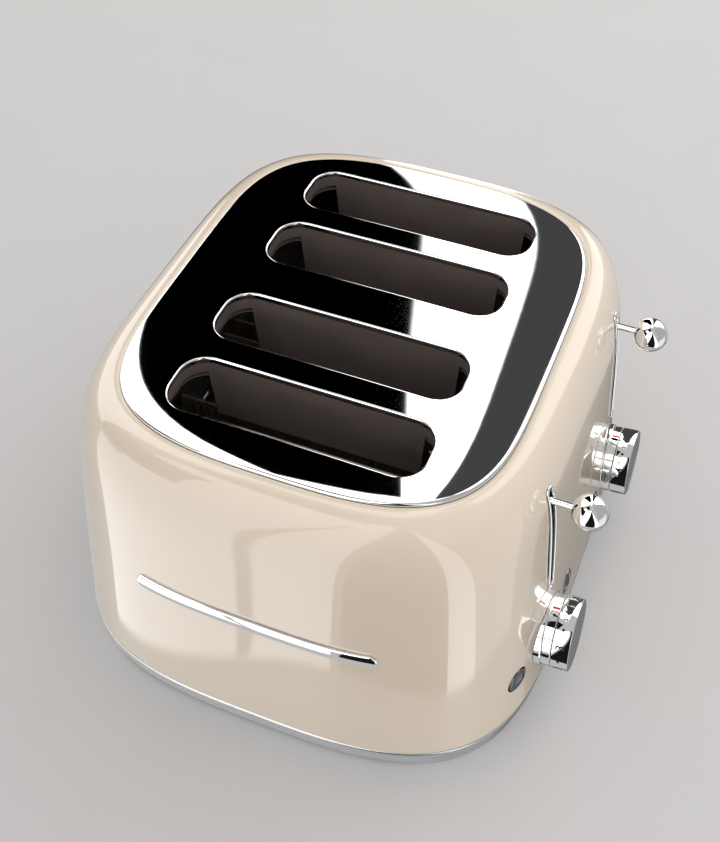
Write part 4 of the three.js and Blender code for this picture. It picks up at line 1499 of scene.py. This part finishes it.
# ------------------------------------------------------------------------------- repeats
class GeometryTree:
    """A Geometry Nodes tree with named inputs that ends in Realize Instances and Set Material."""

    def __init__(self, name: str, finish: Finish) -> None:
        """Starts an empty tree.

        Args:
            name: the tree's name.
            finish: the finish that it sets.
        """
        self.tree = bpy.data.node_groups.new(name, "GeometryNodeTree")
        self.finish = finish
        self.identifiers: dict[str, str] = {}
        self.declare("Geometry", "NodeSocketGeometry", None)
        self.tree.interface.new_socket(
            "Geometry", in_out="OUTPUT", socket_type="NodeSocketGeometry"
        )
        self.start = self.tree.nodes.new("NodeGroupInput")

    def declare(self, name: str, kind: str, value: float | int | tuple | None) -> None:
        """Adds a named input with its usual value."""
        socket = self.tree.interface.new_socket(name, in_out="INPUT", socket_type=kind)
        self.identifiers[name] = socket.identifier
        if value is not None:
            socket.default_value = value

    def given(self, name: str) -> NodeSocket:
        """The socket of a named input."""
        return self.start.outputs[name]

    def end(self, part: Node) -> None:
        """Puts a part on each seed point, realizes the instances and sets the material."""
        placed = add_node(
            self.tree,
            "GeometryNodeInstanceOnPoints",
            {"Points": self.given("Geometry"), "Instance": part},
        )
        real = add_node(self.tree, "GeometryNodeRealizeInstances", {0: placed})
        dressed = add_node(
            self.tree,
            "GeometryNodeSetMaterial",
            {"Geometry": real, "Material": self.finish.material()},
        )
        add_node(self.tree, "NodeGroupOutput", {0: dressed})

    def grow(self, name: str, seeds: list[tuple[float, float, float]], values: dict) -> Object:
        """Evaluates the tree on seed points and keeps the result as a plain mesh.

        Args:
            name: the piece's name.
            seeds: points in the shell's frame.
            values: input values by name.

        Returns:
            The piece.
        """
        mesh = bpy.data.meshes.new(f"{name}_seeds")
        mesh.from_pydata([to_frame(p) for p in seeds], [], [])
        seed = bpy.data.objects.new(f"{name}_seeds", mesh)
        bpy.context.scene.collection.objects.link(seed)
        grower = seed.modifiers.new("grow", "NODES")
        grower.node_group = self.tree
        for key, value in values.items():
            grower[self.identifiers[key]] = value
        result = evaluated_mesh(seed)
        bpy.data.objects.remove(seed)
        return make_piece(result, name, None)


def wire_tree() -> GeometryTree:
    """A welded wire panel in the XZ plane: a rounded frame with upright wires between its rails."""
    panel = GeometryTree("welded_wire_panel", STEEL_WIRE)
    panel.declare("Width", "NodeSocketFloat", 0.139)
    panel.declare("Height", "NodeSocketFloat", 0.112)
    panel.declare("Wires", "NodeSocketInt", 9)
    panel.declare("Radius", "NodeSocketFloat", 0.0009)
    tree = panel.tree
    half_width = add_node(
        tree, "ShaderNodeMath", {0: panel.given("Width"), 1: -0.5}, operation="MULTIPLY"
    )
    frame_curve = add_node(
        tree,
        "GeometryNodeCurvePrimitiveQuadrilateral",
        {"Width": panel.given("Width"), "Height": panel.given("Height")},
    )
    rounded = add_node(
        tree,
        "GeometryNodeFilletCurve",
        {"Curve": frame_curve, "Radius": 0.004, "Count": 5},
        mode="POLY",
    )
    upright = add_node(
        tree, "GeometryNodeTransform", {"Geometry": rounded, "Rotation": (math.pi / 2, 0, 0)}
    )
    half_height = add_node(
        tree, "ShaderNodeMath", {0: panel.given("Height"), 1: 0.5}, operation="MULTIPLY"
    )
    lower = add_node(tree, "ShaderNodeMath", {0: half_height, 1: -1.0}, operation="MULTIPLY")
    low_end = add_node(tree, "ShaderNodeCombineXYZ", {"Z": lower})
    high_end = add_node(tree, "ShaderNodeCombineXYZ", {"Z": half_height})
    wire = add_node(
        tree,
        "GeometryNodeCurvePrimitiveLine",
        {"Start": low_end, "End": high_end},
    )
    gaps = add_node(tree, "ShaderNodeMath", {0: panel.given("Wires"), 1: 1}, operation="ADD")
    step = add_node(tree, "ShaderNodeMath", {0: panel.given("Width"), 1: gaps}, operation="DIVIDE")
    first = add_node(tree, "ShaderNodeMath", {0: half_width, 1: step}, operation="ADD")
    start = add_node(tree, "ShaderNodeCombineXYZ", {"X": first})
    offset = add_node(tree, "ShaderNodeCombineXYZ", {"X": step})
    row = add_node(
        tree,
        "GeometryNodeMeshLine",
        {"Count": panel.given("Wires"), "Start Location": start, "Offset": offset},
    )
    wires = add_node(tree, "GeometryNodeInstanceOnPoints", {"Points": row, "Instance": wire})
    real = add_node(tree, "GeometryNodeRealizeInstances", {0: wires})
    both = add_node(tree, "GeometryNodeJoinGeometry", {})
    tree.links.new(real.outputs[0], both.inputs[0])
    tree.links.new(upright.outputs[0], both.inputs[0])
    section = add_node(
        tree, "GeometryNodeCurvePrimitiveCircle", {
            "Resolution": 10, "Radius": panel.given("Radius")
        }
    )
    bars = add_node(
        tree,
        "GeometryNodeCurveToMesh",
        {"Curve": both, "Profile Curve": section, "Fill Caps": True},
    )
    panel.end(bars)
    return panel


def coil_tree() -> GeometryTree:
    """A close coil that stands on its seed point."""
    coil = GeometryTree("coil_spring", STEEL_WIRE)
    coil.declare("Turns", "NodeSocketFloat", 34.0)
    coil.declare("Height", "NodeSocketFloat", 0.058)
    coil.declare("Radius", "NodeSocketFloat", 0.0022)
    coil.declare("Wire", "NodeSocketFloat", 0.00045)
    tree = coil.tree
    line = add_node(
        tree,
        "GeometryNodeCurveSpiral",
        {
            "Resolution": 14, "Rotations": coil.given("Turns"),
            "Start Radius": coil.given("Radius"),
            "End Radius": coil.given("Radius"), "Height": coil.given("Height"),
        },
    )
    section = add_node(
        tree, "GeometryNodeCurvePrimitiveCircle", {"Resolution": 6, "Radius": coil.given("Wire")}
    )
    wire = add_node(
        tree,
        "GeometryNodeCurveToMesh",
        {"Curve": line, "Profile Curve": section, "Fill Caps": True},
    )
    coil.end(wire)
    return coil


def ribbon_tree() -> GeometryTree:
    """Flat heating ribbon wound round a card: upright runs in a row, each a thin bar."""
    ribbon = GeometryTree("heating_ribbon", NICHROME)
    ribbon.declare("Runs", "NodeSocketInt", 36)
    ribbon.declare("Spacing", "NodeSocketFloat", 0.0046)
    ribbon.declare("Size", "NodeSocketVector", (0.0011, 0.00195, 0.1))
    tree = ribbon.tree
    bar = add_node(tree, "GeometryNodeMeshCube", {"Size": ribbon.given("Size")})
    offset = add_node(tree, "ShaderNodeCombineXYZ", {"X": ribbon.given("Spacing")})
    count = add_node(tree, "ShaderNodeMath", {0: ribbon.given("Runs"), 1: -1}, operation="ADD")
    reach = add_node(
        tree, "ShaderNodeMath", {0: count, 1: ribbon.given("Spacing")}, operation="MULTIPLY"
    )
    half = add_node(tree, "ShaderNodeMath", {0: reach, 1: -0.5}, operation="MULTIPLY")
    start = add_node(tree, "ShaderNodeCombineXYZ", {"X": half})
    row = add_node(
        tree,
        "GeometryNodeMeshLine",
        {"Count": ribbon.given("Runs"), "Start Location": start, "Offset": offset},
    )
    runs = add_node(tree, "GeometryNodeInstanceOnPoints", {"Points": row, "Instance": bar})
    real = add_node(tree, "GeometryNodeRealizeInstances", {0: runs})
    ribbon.end(real)
    return ribbon


def screw_tree() -> GeometryTree:
    """Domed screw heads with a cross recess, heads down, one on each seed point."""
    screws = GeometryTree("domed_cross_screws", ZINC_STEEL)
    screws.declare("Radius", "NodeSocketFloat", 0.0034)
    screws.declare("Thickness", "NodeSocketFloat", 0.0018)
    tree = screws.tree
    head = add_node(
        tree,
        "GeometryNodeMeshUVSphere",
        {"Segments": 20, "Rings": 10, "Radius": screws.given("Radius")},
    )
    flatten = add_node(
        tree, "ShaderNodeMath", {0: screws.given("Thickness"), 1: screws.given("Radius")},
        operation="DIVIDE"
    )
    scale = add_node(tree, "ShaderNodeCombineXYZ", {"X": 1.0, "Y": 1.0, "Z": flatten})
    dome = add_node(tree, "GeometryNodeTransform", {"Geometry": head, "Scale": scale})
    sink = add_node(
        tree, "ShaderNodeMath", {0: screws.given("Thickness"), 1: -1.0}, operation="MULTIPLY"
    )
    place = add_node(tree, "ShaderNodeCombineXYZ", {"Z": sink})
    arms = []
    long_arm = add_node(
        tree, "ShaderNodeMath", {0: screws.given("Radius"), 1: 1.1}, operation="MULTIPLY"
    )
    thin_arm = add_node(
        tree, "ShaderNodeMath", {0: screws.given("Radius"), 1: 0.24}, operation="MULTIPLY"
    )
    sizes = [(long_arm, thin_arm), (thin_arm, long_arm)]
    for wide, deep in sizes:
        size = add_node(
            tree,
            "ShaderNodeCombineXYZ",
            {"X": wide, "Y": deep, "Z": screws.given("Thickness")},
        )
        bar = add_node(tree, "GeometryNodeMeshCube", {"Size": size})
        arms.append(
            add_node(tree, "GeometryNodeTransform", {"Geometry": bar, "Translation": place})
        )
    recessed = dome
    for arm in arms:
        cut = add_node(
            tree, "GeometryNodeMeshBoolean", {"Mesh 1": recessed}, operation="DIFFERENCE"
        )
        tree.links.new(arm.outputs[0], cut.inputs["Mesh 2"])
        recessed = cut
    screws.end(recessed)
    return screws


# ------------------------------------------------------------------------------- inside
@dataclass
class ToastingUnit:
    """A unit's inside: wire guards, racks, heaters, springs, and the plain parts' finishes."""

    unit: Unit
    trees: dict[str, GeometryTree] = field(default_factory=dict)

    @property
    def middle_y(self) -> float:
        """The unit's middle plane."""
        return self.unit.value * 61.7

    def build(self) -> None:
        """Makes the inside of the unit."""
        self.guards()
        self.racks()
        self.heaters()
        self.spring()
        self.dress_plain_parts()

    def slots(self) -> list[tuple[str, float]]:
        """The unit's two slots by name, with their Y."""
        half_pitch = 27.5
        return [
            ("inner", self.middle_y - self.unit.value * half_pitch),
            ("outer", self.middle_y + self.unit.value * half_pitch),
        ]

    def guards(self) -> None:
        """Two hinged wire guards to a slot."""
        low_z, high_z, from_middle = 36.0, 148.4, 16.25
        wire, half_x = 0.9, 69.5
        for slot, y in self.slots():
            for hand, sign in (("near", -1), ("far", 1)):
                guard_y = y + sign * self.unit.value * from_middle
                node = f"guard_{self.unit.label}_{slot}_{hand}"
                values = {
                    "Width": 2 * (half_x - wire) * MM, "Height": (high_z - low_z) * MM,
                    "Wires": 9, "Radius": wire * MM,
                }
                middle = (0, guard_y, (low_z + high_z) / 2)
                piece = self.trees["wire"].grow(f"{node}_wire", [middle], values)
                place_piece(piece, node, "steel_wire", node)

    def racks(self) -> None:
        """The bread racks: a folded arm with rounded fingers under the bread."""
        z, reach, half_y = 112.0, 65.5, 11.0
        for slot, y in self.slots():
            draft = MeshDraft()
            arm = stadium(0.9, 3.0, 0.9, 5)
            rings = []
            for x, squeeze in ((-97.0, 0.75), (-96.5, 1.0), (99.2, 1.0), (99.7, 0.75)):
                loop = arm * squeeze + [y, z - 1.0]
                rings.append(np.column_stack([np.full(len(arm), x), loop]))
            draft.solid(rings)
            for x in np.linspace(-reach, reach, 7):
                turn = np.linspace(-1, 1, 13)
                rise = 0.9 + 0.7 * np.abs(turn) ** 4
                path = np.column_stack([np.full(13, x), y + turn * (half_y - 0.9), z + rise])
                draft.tube(path, 0.9, 10)
            node = f"rack_{self.unit.label}_{slot}"
            piece = draft.make(f"{node}_wire", STEEL_WIRE)
            place_piece(piece, f"lever_{self.unit.label}", "zinc_steel", node)

    def heaters(self) -> None:
        """Ribbon round each mica card; the cards keep their nodes."""
        low_z, high_z, pitch = 40.0, 147.4, 55.0
        spots = {"inner": -1, "middle": 0, "outer": 1}
        for spot, step in spots.items():
            y = self.middle_y + self.unit.value * step * pitch
            # The cards' dark mica colour is painted shade for the inside of the slots, seen through
            # the liners' open ends.
            MICA.dress(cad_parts[f"heater_{self.unit.label}_{spot}"])
            values = {
                "Runs": 36, "Spacing": 4.6 * MM,
                "Size": (1.1 * MM, 1.9 * MM, (high_z - low_z - 8) * MM),
            }
            middle = (0, y, (low_z + high_z) / 2)
            piece = self.trees["ribbon"].grow(f"ribbon_{self.unit.label}_{spot}", [middle], values)
            place_piece(piece, "casing", "mica")

    def spring(self) -> None:
        """The return spring, which stretches between the frame and the carriage."""
        x, y = 100.7, self.middle_y + self.unit.value * 24.5
        low_z, high_z, turns = 120.3, 179.9, 36.0
        wire = 0.45
        values = {
            "Turns": turns, "Height": (high_z - low_z - 2 * wire) * MM, "Radius": 2.2 * MM,
            "Wire": wire * MM,
        }
        name = f"return_spring_{self.unit.label}"
        piece = self.trees["coil"].grow(f"{name}_coil", [(x, y, low_z + wire)], values)
        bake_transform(piece)
        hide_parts(name)
        log.info(
            "%s: %d faces, bends between casing and lever", piece.name, len(piece.data.polygons)
        )

    def dress_plain_parts(self) -> None:
        """Gives the unit's remaining nodes their finishes."""
        unit = self.unit.label
        finishes = {
            f"carriage_{unit}": ZINC_STEEL,
            f"guide_rod_{unit}": GROUND_STEEL,
            f"latch_magnet_{unit}": COPPER_WINDING,
            f"control_board_{unit}": CIRCUIT_BOARD,
            f"dial_control_{unit}": BLACK_PLASTIC,
        }
        for node, finish in finishes.items():
            finish.dress(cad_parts[node])


@dataclass
class Underside:
    """The base pan, the end plates, and their screws."""

    screw_spots: tuple[tuple[float, float], ...] = (
        (-120, 0), (120, 0), (-60, 138), (60, 138), (-60, -138), (60, -138),
    )

    def build(self, screws: GeometryTree) -> None:
        """Dresses the plain sheets and adds the screws under the pan."""
        for node in ("base_pan", "end_plate_left", "end_plate_right"):
            ZINC_STEEL.dress(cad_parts[node])
        pan_z = 8.6
        seeds = [(x, y, pan_z) for x, y in self.screw_spots]
        piece = screws.grow("pan_screws", seeds, {"Radius": 3.4 * MM, "Thickness": 1.8 * MM})
        place_piece(piece, "casing", "zinc_steel")


# ------------------------------------------------------------------------------- studio
@dataclass(frozen=True)
class LightPanel:
    """A patch of the studio's surroundings, by direction.

    Azimuth is in degrees from straight behind the toaster (+Y) towards +X; elevation is above the
    horizon. Lean moves the middle, and narrow takes from the half width, for each degree of
    elevation. Radiance replaces what is there.
    """

    azimuth: float
    half_width: float
    low: float
    high: float
    radiance: float
    lean: float = 0.0
    narrow: float = 0.0
    soft: float = 0.8


@dataclass
class Studio:
    """Floor, surrounding light panels and camera."""

    ambient: float = 0.55
    backdrop: str = "#D2D2D2"
    soft_from: tuple[float, float, float] = (0.75, -0.45, 0.5)
    soft_low: float = 0.55
    soft_high: float = 1.4
    panels: tuple[LightPanel, ...] = (
        LightPanel(87, 38, -90, 75, 0.45),
        LightPanel(94, 24, -50, -5, 0.9),
        LightPanel(138, 7.5, -50, 85, 2.3, lean=0.365, narrow=0.115),
        LightPanel(-152, 26, -2, 56, 2.3),
        LightPanel(-126, 24, 8, 42, 0.01),
        LightPanel(-135, 30.7, -50, 2, 2.2, lean=-0.12, narrow=-0.12),
        LightPanel(-173.2, 7.5, -50, 60, 2.3, lean=-0.24),
        LightPanel(-166, 0.7, -50, 40, 0.5, lean=-0.24),
        LightPanel(160, 16.5, -50, 75, 0.01, lean=0.005, narrow=0.245),
        LightPanel(-140, 24, 57, 76, 0.01),
        LightPanel(-72, 28, 8, 70, 2.8),
        LightPanel(22, 22, 8, 66, 2.8),
        LightPanel(20, 30, -90, -40, 0.2),
        LightPanel(-30, 34, 63, 90, 2.3),
        LightPanel(-30.8, 13.1, -60, 64, 0.0),
        LightPanel(-13.2, 4.5, -60, 70, 2.8),
        LightPanel(-2.7, 6.0, -30, 66, 0.06),
    )

    def build(self) -> None:
        """Makes the floor, the surroundings and the camera."""
        self.floor()
        self.surroundings()
        self.lamp()
        self.camera()

    def floor(self) -> None:
        """A plain pale floor."""
        reach = 9000.0
        draft = MeshDraft()
        loop = stadium(reach, reach, 500, 6)
        rings = [with_height(loop, z) for z in (0.0, -20.0)]
        draft.solid(rings)
        paper = Finish(
            "matt_grey_paper", "#BFBEBE", "#BBBABA", roughness=0.9, grain=90.0, specular=0.1
        )
        floor = draft.make("floor", paper)
        floor.visible_glossy = False

    def lamp(self) -> None:
        """A large soft lamp behind and to the control side, which lights the floor unevenly."""
        data = bpy.data.lights.new("soft_lamp", "AREA")
        data.shape = "DISK"
        data.size = 1.6
        data.energy = 7.0
        lamp = bpy.data.objects.new("soft_lamp", data)
        lamp.location = (0.45, 1.25, 1.2)
        lamp.rotation_euler = Vector(lamp.location).to_track_quat("Z", "Y").to_euler()
        lamp.visible_glossy = False
        bpy.context.scene.collection.objects.link(lamp)

    def surroundings(self) -> None:
        """Soft light panels all round, as a world that reads only the direction."""
        world = bpy.data.worlds.new("studio")
        world.use_nodes = True
        bpy.context.scene.world = world
        tree = world.node_tree
        tree.nodes.clear()
        direction = add_node(tree, "ShaderNodeTexCoord").outputs["Generated"]
        split = add_node(tree, "ShaderNodeSeparateXYZ", {0: direction})
        height = add_node(tree, "ShaderNodeMath", {0: split.outputs[2]}, operation="ARCSINE")
        level: NodeSocket | float = self.ambient
        for panel in self.panels:
            share = self.share_of(tree, panel, direction, height.outputs[0])
            level = add_node(
                tree, "ShaderNodeMix", {0: share, 2: level, 3: panel.radiance}, data_type="FLOAT"
            ).outputs[0]
        soft_from = Vector(self.soft_from).normalized()
        lean = add_node(
            tree, "ShaderNodeVectorMath", {
                0: direction, 1: tuple(soft_from)
            }, operation="DOT_PRODUCT"
        )
        soft = add_node(
            tree,
            "ShaderNodeMapRange",
            {
                "Value": lean.outputs["Value"], "From Min": -1.0, "From Max": 1.0,
                "To Min": self.soft_low, "To Max": self.soft_high,
            },
        )
        seen = add_node(tree, "ShaderNodeLightPath")
        backdrop = linear(self.backdrop)
        layers = [
            (None, (1, 0.99, 0.98, 1), soft.outputs[0]),
            (seen.outputs["Is Glossy Ray"], (1, 0.995, 0.985, 1), level),
            (seen.outputs["Is Camera Ray"], backdrop, 1.0),
        ]
        both = None
        for share, colour, strength in layers:
            light = add_node(tree, "ShaderNodeBackground", {"Color": colour, "Strength": strength})
            if both is None:
                both = light
                continue
            both = add_node(
                tree, "ShaderNodeMixShader", {0: share, 1: both, 2: light}
            )
        add_node(tree, "ShaderNodeOutputWorld", {0: both})
        world.cycles.sampling_method = "NONE"

    @staticmethod
    def share_of(
        tree: NodeTree, panel: LightPanel, direction: NodeSocket, height: NodeSocket
    ) -> NodeSocket:
        """How much of a panel lies in a direction, from 0 to 1 with soft edges."""
        turn = math.radians(panel.azimuth)
        ahead = add_node(
            tree, "ShaderNodeVectorMath", {0: direction, 1: (math.sin(turn), math.cos(turn), 0)},
            operation="DOT_PRODUCT",
        )
        aside = add_node(
            tree, "ShaderNodeVectorMath", {0: direction, 1: (math.cos(turn), -math.sin(turn), 0)},
            operation="DOT_PRODUCT",
        )
        angle = add_node(
            tree, "ShaderNodeMath", {0: aside.outputs["Value"], 1: ahead.outputs["Value"]},
            operation="ARCTAN2",
        )
        leaning = add_node(
            tree, "ShaderNodeMath", {0: height, 1: -panel.lean, 2: angle},
            operation="MULTIPLY_ADD",
        )
        aside = add_node(tree, "ShaderNodeMath", {0: leaning}, operation="ABSOLUTE")
        off = add_node(
            tree, "ShaderNodeMath", {0: height, 1: panel.narrow, 2: aside},
            operation="MULTIPLY_ADD",
        )
        soft = math.radians(panel.soft)
        limits = [
            (off.outputs[0], math.radians(panel.half_width) + soft / 2, -soft),
            (height, math.radians(panel.low) - soft / 2, soft),
            (height, math.radians(panel.high) + soft / 2, -soft),
        ]
        shares = []
        for value, start, width in limits:
            shares.append(
                add_node(
                    tree,
                    "ShaderNodeMapRange",
                    {"Value": value, "From Min": start, "From Max": start + width},
                    interpolation_type="SMOOTHSTEP",
                ).outputs[0]
            )
        product = add_node(
            tree, "ShaderNodeMath", {0: shares[0], 1: shares[1]}, operation="MULTIPLY"
        )
        return add_node(
            tree, "ShaderNodeMath", {0: product, 1: shares[2]}, operation="MULTIPLY"
        ).outputs[0]

    def camera(self) -> None:
        """A 50 mm camera that looks down on the front and the control side."""
        azimuth, elevation, distance = math.radians(22.0), math.radians(48.143), 736.6
        target = Vector(to_frame((-4.43, 5.39, 90.0)))
        back = Vector(
            (
                math.sin(azimuth) * math.cos(elevation),
                -math.cos(azimuth) * math.cos(elevation),
                math.sin(elevation),
            )
        )
        data = bpy.data.cameras.new("camera")
        data.lens = 50
        data.clip_start, data.clip_end = 0.01, 60
        camera = bpy.data.objects.new("camera", data)
        camera.location = target + back * distance * MM
        camera.rotation_euler = (-back).to_track_quat("-Z", "Y").to_euler()
        scene = bpy.context.scene
        scene.collection.objects.link(camera)
        scene.camera = camera
        scene.view_settings.view_transform = "Standard"
        scene.view_settings.look = "None"


def main() -> None:
    """Builds the toaster round the frame, then the studio."""
    logging.basicConfig(level=logging.INFO, format="%(message)s")
    Studio().build()
    Casing().build()
    trees = {"wire": wire_tree(), "coil": coil_tree(), "ribbon": ribbon_tree()}
    for unit in Unit:
        LeverSet(unit).build()
        DialSet(unit).build()
        for button in buttons_of(unit):
            button.build()
        CrumbTray(unit).build()
        ToastingUnit(unit, trees).build()
    Underside().build(screw_tree())


if __name__ == "__main__":
    main()
